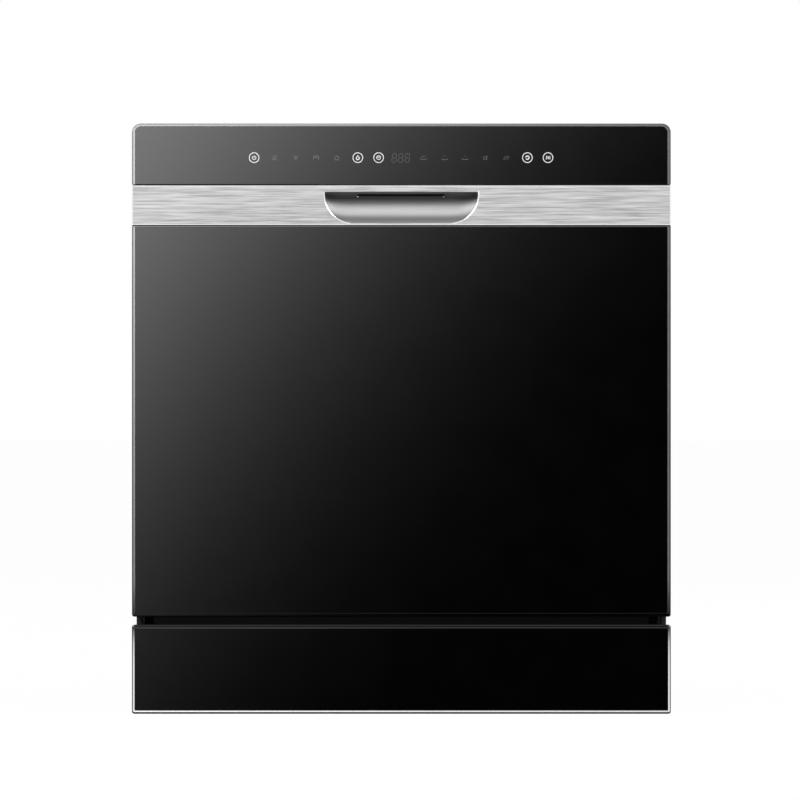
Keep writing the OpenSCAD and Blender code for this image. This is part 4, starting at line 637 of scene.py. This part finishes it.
def handle_strip():
    """The brushed strip: a folded sheet with bright cut edges round it and round the bowl."""
    steel, cut = range(2)
    strip_top = STRIP_HIGH - STRIP_SEAM

    def strip_loop(inset, y):
        outline = soft_outline(STRIP_HALF, STRIP_LOW, strip_top, STRIP_R, STRIP_R, inset)
        return add_ring(bm, outline, y)

    def rim_side(x, z):
        return cut if abs(x) > RIM_ROUND_X else steel

    bm = bmesh.new()
    outer_rings = bevel_rings(STRIP_Y, FRAME_Y, STRIP_BEVEL, STRIP_BEVEL_DEPTH)
    outer = [strip_loop(inset, y) for inset, y in outer_rings]
    for lower, upper in zip(outer, outer[1:]):
        bridge(bm, lower, upper, cut)
    rim_rings = bevel_rings(STRIP_Y, STRIP_Y + SHEET, RIM_BEVEL, RIM_BEVEL_DEPTH)
    inner = [add_ring(bm, pocket_outline(inset), y) for inset, y in rim_rings]
    for lower, upper in zip(inner, inner[1:]):
        bridge(bm, lower, upper, rim_side)
    cap(bm, [outer[-1], inner[-1]], True, steel)
    sheet_back = strip_loop(SHEET, FRAME_Y)
    sheet_inner = strip_loop(SHEET, STRIP_Y + SHEET)
    bridge(bm, sheet_back, outer[0], cut, False)
    bridge(bm, sheet_inner, sheet_back, cut, False)
    cap(bm, [sheet_inner, inner[0]], False, cut)
    materials = [FINISHES["strip_steel"], EDGE_BRIGHT]
    finish_piece("brushed_strip", bm, materials, BODY_DOOR, ("handle_strip",))


handle_strip()

# The slot at the top of the bowl, where the latch paddle's lip passes, drawn as a black inset of
# painted shade, and the paddle's two pin heads. Each profile is (radius, place before or behind the
# bowl's wall) from back to front.
SLOT_PX, SLOT_PY, PIN_PY = (357.5, 444.0), 194.0, 195.3
SLOT_PROFILE = ((1.05, 0.3), (1.05, -0.25), (0.8, -0.4))
PIN_PROFILE = ((0.75, 0.3), (0.75, -0.9), (0.6, -1.15), (0.3, -1.3))
SLOT_END_STEPS, PIN_STEPS = 12, 16


def bowl_y(z):
    """Depth of the bowl's wall at a height."""
    return STRIP_Y + math.sqrt(POCKET_R**2 - (z - POCKET_CZ) ** 2)


def pocket_slot():
    """The slot, with round ends: a black inset on the bowl's wall, painted shade for the dark
    opening.
    """
    bm = bmesh.new()
    left, right = (photo_x(px) for px in SLOT_PX)
    z = photo_z(SLOT_PY)
    loops = []
    for radius, rise in SLOT_PROFILE:
        outline = arc_points(right, z, radius, -90, 90, SLOT_END_STEPS)
        outline += arc_points(left, z, radius, 90, 270, SLOT_END_STEPS)
        loops.append(add_ring(bm, outline, bowl_y(z) + rise))
    loft(bm, loops)
    finish_piece("paddle_slot", bm, [SLOT_PAINTED_SHADE], BODY_DOOR)


def pocket_pins():
    """The two pin heads, at the slot's ends."""
    bm = bmesh.new()
    z = photo_z(PIN_PY)
    for px in SLOT_PX:
        loops = [
            add_ring(bm, circle_points(photo_x(px), z, radius, PIN_STEPS), bowl_y(z) + rise)
            for radius, rise in PIN_PROFILE
        ]
        loft(bm, loops)
    finish_piece("paddle_pins", bm, [EDGE_BRIGHT], BODY_DOOR)


pocket_slot()
pocket_pins()

# ---------- Plinth ----------

PLINTH_DROP = 1.55  # the face hangs this far below the panel that carries it
PLINTH_SKIN = 1.1
# (inset, more of it at the top and bottom, place before or behind the face), from the back.
PLINTH_PROFILE = (
    (0.0, 0.0, PLINTH_SKIN),
    (0.0, 0.0, 0.7),
    (0.1, 0.0, 0.3),
    (0.35, 0.1, 0.02),
    (1.05, 0.85, 0.0),
    (1.25, 0.8, -0.3),
    (1.6, 0.75, -0.42),
    (2.0, 0.7, -0.42),
    (2.35, 0.67, -0.3),
    (2.6, 0.65, -0.05),
    (2.9, 0.65, -0.05),
    (3.1, 0.6, -0.1),
)


def plinth_face():
    """The plinth's lacquered face, with a raised bead just inside its rounded edge."""
    face, bead = range(2)
    bm = bmesh.new()
    loops = []
    for inset, more, rise in PLINTH_PROFILE:
        insets = (inset, inset + more, inset + more)
        z_span = (PLINTH_LOW - PLINTH_DROP, PLINTH_HIGH)
        outline = framed_outline(FACE_HALF, *z_span, SMALL_R, SMALL_R, *insets)
        loops.append(add_ring(bm, outline, GLASS_Y + rise))
    loft(bm, loops, [face] * 4 + [bead] * 5 + [face] * 2)
    materials = [FINISHES["plinth_black"], PLINTH_BEAD]
    finish_piece("plinth_face", bm, materials, BODY_CABINET)


plinth_face()

# ---------- Printed icons ----------

INK_THICK, INK_SINK = 0.03, 0.05  # before and behind the glass's face
RING_STEPS = 40
DOT_FILL = 0.98


def ink_strip(bm, inner, outer, closed):
    """A thin raised band between two lines of the same number of points."""
    front = [add_ring(bm, points, GLASS_Y - INK_THICK) for points in (inner, outer)]
    back = [add_ring(bm, points, GLASS_Y + INK_SINK) for points in (inner, outer)]
    count = len(inner)
    for i in range(count if closed else count - 1):
        j = (i + 1) % count
        bm.faces.new((front[0][i], front[0][j], front[1][j], front[1][i]))
        bm.faces.new((back[0][j], back[0][i], back[1][i], back[1][j]))
        bm.faces.new((front[1][i], front[1][j], back[1][j], back[1][i]))
        bm.faces.new((front[0][j], front[0][i], back[0][i], back[0][j]))
    if not closed:
        for i in (0, -1):
            bm.faces.new((front[0][i], front[1][i], back[1][i], back[0][i]))


def ring(bm, cx, cz, radius, width):
    """A circle drawn with a line of that width."""
    inner = circle_points(cx, cz, radius - width, RING_STEPS)
    ink_strip(bm, inner, circle_points(cx, cz, radius, RING_STEPS), True)


def arc_line(bm, cx, cz, radius, width, first, last):
    """An arc between two angles, drawn with a line of that width."""
    inner = arc_points(cx, cz, radius - width / 2, first, last)
    outer = arc_points(cx, cz, radius + width / 2, first, last)
    ink_strip(bm, inner, outer, False)


def line(bm, points, width):
    """A drawn line through points, of that width."""
    left, right = [], []
    for i, (x, z) in enumerate(points):
        before = points[max(i - 1, 0)]
        after = points[min(i + 1, len(points) - 1)]
        direction = Vector((after[0] - before[0], after[1] - before[1])).normalized()
        left.append((x - direction.y * width / 2, z + direction.x * width / 2))
        right.append((x + direction.y * width / 2, z - direction.x * width / 2))
    ink_strip(bm, left, right, False)


def dot(bm, cx, cz, radius):
    ring(bm, cx, cz, radius, radius * DOT_FILL)


# ---------- Icon glyphs, each drawn round its middle, in millimetres ----------


def power(bm, x, z):
    arc_line(bm, x, z - 0.1, 1.75, 0.8, -235, 55)
    line(bm, [(x, z + 0.1), (x, z + 2.2)], 0.8)


def drop(bm, x, z):
    arc_line(bm, x, z - 0.6, 1.45, 1.0, -220, 40)
    line(bm, [(x - 1.1, z + 0.3), (x, z + 2.3), (x + 1.1, z + 0.3)], 0.9)


def clock(bm, x, z):
    ring(bm, x, z, 2.3, 0.75)
    line(bm, [(x - 0.9, z + 0.9), (x, z - 0.1), (x + 1.0, z + 0.8)], 0.6)


def dial(bm, x, z):
    arc_line(bm, x, z, 1.7, 1.05, -150, 170)
    line(bm, [(x + 0.4, z + 0.6), (x + 1.7, z + 1.9)], 0.7)


def play_pause(bm, x, z):
    line(bm, [(x - 1.7, z + 1.8), (x + 0.3, z), (x - 1.7, z - 1.8), (x - 1.6, z + 1.5)], 0.75)
    for shift in (0.8, 2.0):
        line(bm, [(x + shift, z + 1.8), (x + shift, z - 1.8)], 0.6)


def half_load(bm, x, z):
    for shift in (-2.3, -0.2):
        line(bm, [(x + shift + 2.6, z + 2.0), (x + shift + 0.7, z + 1.6),
                  (x + shift + 1.8, z - 0.2), (x + shift - 0.2, z - 0.5),
                  (x + shift - 0.4, z - 1.9)], 0.65)
    line(bm, [(x - 2.8, z - 2.2), (x + 2.2, z - 2.2)], 0.5)


def star(bm, x, z):
    for i in range(3):
        angle = math.radians(60 * i + 20)
        dx, dz = 2.3 * math.cos(angle), 2.3 * math.sin(angle)
        line(bm, [(x - dx, z - dz), (x + dx, z + dz)], 0.6)


def tap(bm, x, z):
    line(bm, [(x - 2.7, z - 1.8), (x - 2.5, z + 1.2), (x - 0.6, z + 1.6)], 0.8)
    line(bm, [(x - 0.9, z + 2.2), (x + 1.3, z + 2.1), (x + 2.4, z + 0.4), (x + 2.2, z - 2.2)], 0.8)
    line(bm, [(x - 1.8, z + 0.1), (x + 1.2, z + 0.3)], 0.8)


def house(bm, x, z):
    line(bm, [(x - 2.1, z - 0.2), (x - 1.9, z - 2.2), (x + 1.9, z - 2.2), (x + 2.1, z - 0.2),
              (x, z + 2.2), (x - 2.1, z - 0.1)], 0.8)


def tray(bm, x, z, dots):
    line(bm, [(x - 3.1, z - 0.6), (x - 2.5, z - 1.9), (x + 2.5, z - 1.9), (x + 3.1, z - 0.6)], 0.65)
    for row, count in enumerate(dots):
        for i in range(count):
            dot(bm, x + 1.6 * (i - (count - 1) / 2), z + 1.6 - 1.5 * row, 0.42)


def glass(bm, x, z):
    line(bm, [(x - 2.2, z + 0.9), (x - 1.9, z - 1.8), (x + 0.5, z - 1.8), (x + 0.8, z + 0.9),
              (x - 2.1, z + 0.9)], 0.6)
    line(bm, [(x + 1.7, z + 2.4), (x + 1.2, z + 0.2), (x + 1.5, z - 2.0)], 0.6)


def dishes(bm, x, z):
    for shift in (-1.6, 0.0, 1.6):
        line(bm, [(x + shift - 1.2, z - 1.8), (x + shift - 0.6, z + 0.4),
                  (x + shift + 1.1, z + 1.5), (x + shift + 0.6, z - 0.9),
                  (x + shift - 0.9, z - 1.7)], 0.5)


# Columns of the photograph, with what stands there.
RINGED_ICONS = ((254.1, power), (357.8, drop), (378.6, clock), (527.4, dial), (548.0, play_pause))
DIM_ICONS = (
    (274.8, half_load), (295.8, star), (316.3, tap), (336.8, house),
    (485.6, glass), (506.5, dishes),
)
TRAY_ICONS = ((423.6, (3, 3)), (444.6, (2,)), (465.1, (1,)))
ICON_Z = photo_z(157.6)
RING_R, RING_W = 5.35, 0.85

DIGIT_PX, DIGIT_STEP_PX, DIGIT_PY = 394.2, 6.6, 157.9
DIGIT_W, HALF_DIGIT = 4.1, 4.3
DIGIT_LEAN = 0.8
SEGMENT_W, SEGMENT_GAP = 0.75, 0.5


def bright_icons():
    """The signs in rings."""
    bm = bmesh.new()
    for px, glyph in RINGED_ICONS:
        ring(bm, photo_x(px), ICON_Z, RING_R, RING_W)
        glyph(bm, photo_x(px), ICON_Z)
    finish_piece("icons_bright", bm, [INK_BRIGHT], BODY_DOOR)


def dim_icons():
    """The fainter signs between them."""
    bm = bmesh.new()
    for px, glyph in DIM_ICONS:
        glyph(bm, photo_x(px), ICON_Z)
    for px, dots in TRAY_ICONS:
        tray(bm, photo_x(px), ICON_Z, dots)
    finish_piece("icons_dim", bm, [INK_DIM], BODY_DOOR)


def display():
    """Three unlit seven-segment digits."""
    bm = bmesh.new()
    cz = photo_z(DIGIT_PY)
    for digit in range(3):
        cx = photo_x(DIGIT_PX + DIGIT_STEP_PX * digit)
        for level in (-1, 0, 1):
            x, z = cx + DIGIT_LEAN * level / 2, cz + HALF_DIGIT * level
            reach = DIGIT_W / 2 - SEGMENT_GAP
            line(bm, [(x - reach, z), (x + reach, z)], SEGMENT_W)
        for side in (-1, 1):
            for low in (-1, 0):
                x, z = cx + side * DIGIT_W / 2 + DIGIT_LEAN * low / 2, cz + HALF_DIGIT * low
                head = (x + DIGIT_LEAN / 2, z + HALF_DIGIT - SEGMENT_GAP)
                line(bm, [(x, z + SEGMENT_GAP), head], SEGMENT_W)
    finish_piece("display_digits", bm, [INK_UNLIT], BODY_DOOR)


bright_icons()
dim_icons()
display()

# ---------- Camera ----------

SENSOR_MM = 36.0
CAMERA_AWAY = 4500.0  # from the strip's face
CENTRE_X, CENTRE_Z = photo_x(PHOTO_SIZE / 2), photo_z(PHOTO_SIZE / 2)
STAGE_SIZE = 60  # metres

camera_data = bpy.data.cameras.new("camera")
camera_data.sensor_width = SENSOR_MM
camera_data.lens = SENSOR_MM * CAMERA_AWAY / (PHOTO_SIZE * PIXEL_MM)
camera_data.clip_end = STAGE_SIZE
camera = bpy.data.objects.new("camera", camera_data)
camera.location = Vector((CENTRE_X, STRIP_Y - CAMERA_AWAY, CENTRE_Z)) * MM
camera.rotation_euler = (math.pi / 2, 0, 0)
bpy.context.scene.collection.objects.link(camera)
bpy.context.scene.camera = camera
bpy.context.scene.view_settings.view_transform = "Standard"

# ---------- Studio ----------

AMBIENT = 0.16
FLOOR_GREY = 0.8
FLOOR_GLOW = 0.98

# The soft glow that the black glass mirrors: brightest up on the left, gone towards the lower
# right. It falls off along a diagonal of the photograph, in pixels from GLOW_START_PX.
CARD_AWAY = 7250.0  # in front of the strip's face
CARD_SIZE = 2.8
CARD_PEAK = 4.6
GLOW_START_PX = 145.0
GLOW_DIAGONAL = 0.8
GLOW_FALL, GLOW_CURVE = 0.0030, 7.7e-6
CARD_STRETCH = (CAMERA_AWAY + CARD_AWAY) / CAMERA_AWAY

# Place, height that it is aimed at, size, energy, and whether reflections show it.
LAMPS = {
    "key": ((-1.3, -1.9, 1.6), 0.35, 1.0, 38, True),
    "fill": ((1.5, -1.7, 1.6), 0.35, 1.0, 33, True),
    "top": ((0, 0.2, 2.3), 0.4, 1.8, 30, False),
    "back": ((0.8, 2.0, 1.4), 0.3, 1.4, 22, False),
}


def seen_directly(tree):
    """1 for camera, glossy and transmission rays, else 0."""
    path = tree.nodes.new("ShaderNodeLightPath").outputs
    seen = math_node(tree, "MAXIMUM", path["Is Camera Ray"], path["Is Glossy Ray"])
    return math_node(tree, "MAXIMUM", seen, path["Is Transmission Ray"])


def make_world():
    """White to look at, and a dim even light on the object."""
    world = bpy.data.worlds.new("studio")
    world.use_nodes = True
    tree = world.node_tree
    tree.nodes.clear()
    out = tree.nodes.new("ShaderNodeOutputWorld")
    mix = tree.nodes.new("ShaderNodeMixShader")
    dim = tree.nodes.new("ShaderNodeBackground")
    dim.inputs["Strength"].default_value = AMBIENT
    white = tree.nodes.new("ShaderNodeBackground")
    for node in (dim, white):
        node.inputs["Color"].default_value = (1, 1, 1, 1)
    tree.links.new(seen_directly(tree), mix.inputs["Fac"])
    tree.links.new(dim.outputs[0], mix.inputs[1])
    tree.links.new(white.outputs[0], mix.inputs[2])
    tree.links.new(mix.outputs[0], out.inputs["Surface"])
    bpy.context.scene.world = world


def stage_plane(name, size, location, rotation, mat):
    """A square plane that isn't part of the object."""
    bm = bmesh.new()
    bmesh.ops.create_grid(bm, x_segments=1, y_segments=1, size=size / 2)
    mesh = bpy.data.meshes.new(name)
    bm.to_mesh(mesh)
    bm.free()
    mesh.materials.append(mat)
    plane = bpy.data.objects.new(name, mesh)
    plane.location = location
    plane.rotation_euler = rotation
    bpy.context.scene.collection.objects.link(plane)
    return plane


def floor_material():
    """Pale floor that shows white and keeps a faint shadow."""
    mat, tree, surface = bare_material("floor")
    diffuse = tree.nodes.new("ShaderNodeBsdfDiffuse")
    diffuse.inputs["Color"].default_value = (*grey(FLOOR_GREY), 1)
    light = tree.nodes.new("ShaderNodeEmission")
    mix = tree.nodes.new("ShaderNodeMixShader")
    share = math_node(tree, "MULTIPLY", seen_directly(tree), FLOOR_GLOW)
    tree.links.new(share, mix.inputs["Fac"])
    tree.links.new(diffuse.outputs[0], mix.inputs[1])
    tree.links.new(light.outputs[0], mix.inputs[2])
    tree.links.new(mix.outputs[0], surface)
    return mat


def card_material():
    """Light that is CARD_PEAK where the glow starts and falls off faster and faster."""
    mat, tree, surface = bare_material("glow_card")
    light = tree.nodes.new("ShaderNodeEmission")
    axes = object_axes(tree)
    px_per_m = 1 / MM / CARD_STRETCH / PIXEL_MM
    middle = PHOTO_SIZE / 2 + GLOW_DIAGONAL * (PHOTO_SIZE / 2 - TOP_PX) - GLOW_START_PX
    across = math_node(tree, "MULTIPLY_ADD", axes["X"], px_per_m, middle)
    along = math_node(tree, "MULTIPLY_ADD", axes["Y"], -GLOW_DIAGONAL * px_per_m, across)
    far = math_node(tree, "MAXIMUM", along, 0.0)
    fall = math_node(tree, "MULTIPLY_ADD", far, -GLOW_CURVE, -GLOW_FALL)
    level = math_node(tree, "EXPONENT", math_node(tree, "MULTIPLY", far, fall))
    tree.links.new(math_node(tree, "MULTIPLY", level, CARD_PEAK), light.inputs["Strength"])
    tree.links.new(light.outputs[0], surface)
    return mat


def area_light(name, place, aim_height, size, energy, mirrored):
    """A square lamp aimed at a height on the object's axis."""
    data = bpy.data.lights.new(name, "AREA")
    data.shape = "SQUARE"
    data.size = size
    data.energy = energy
    lamp = bpy.data.objects.new(name, data)
    lamp.location = place
    lamp.visible_glossy = mirrored
    aim = Vector((0, 0, aim_height)) - Vector(place)
    lamp.rotation_euler = aim.to_track_quat("-Z", "Y").to_euler()
    bpy.context.scene.collection.objects.link(lamp)


make_world()
floor = stage_plane("floor", STAGE_SIZE, (0, 0, 0), (0, 0, 0), floor_material())
floor.visible_glossy = False
card_place = Vector((CENTRE_X, STRIP_Y - CARD_AWAY, CENTRE_Z)) * MM
card = stage_plane("glow_card", CARD_SIZE, card_place, (math.pi / 2, 0, 0), card_material())
card.visible_camera = False
card.visible_diffuse = False
card.visible_transmission = False
card.visible_shadow = False
for lamp_name, settings in LAMPS.items():
    area_light(lamp_name, *settings)
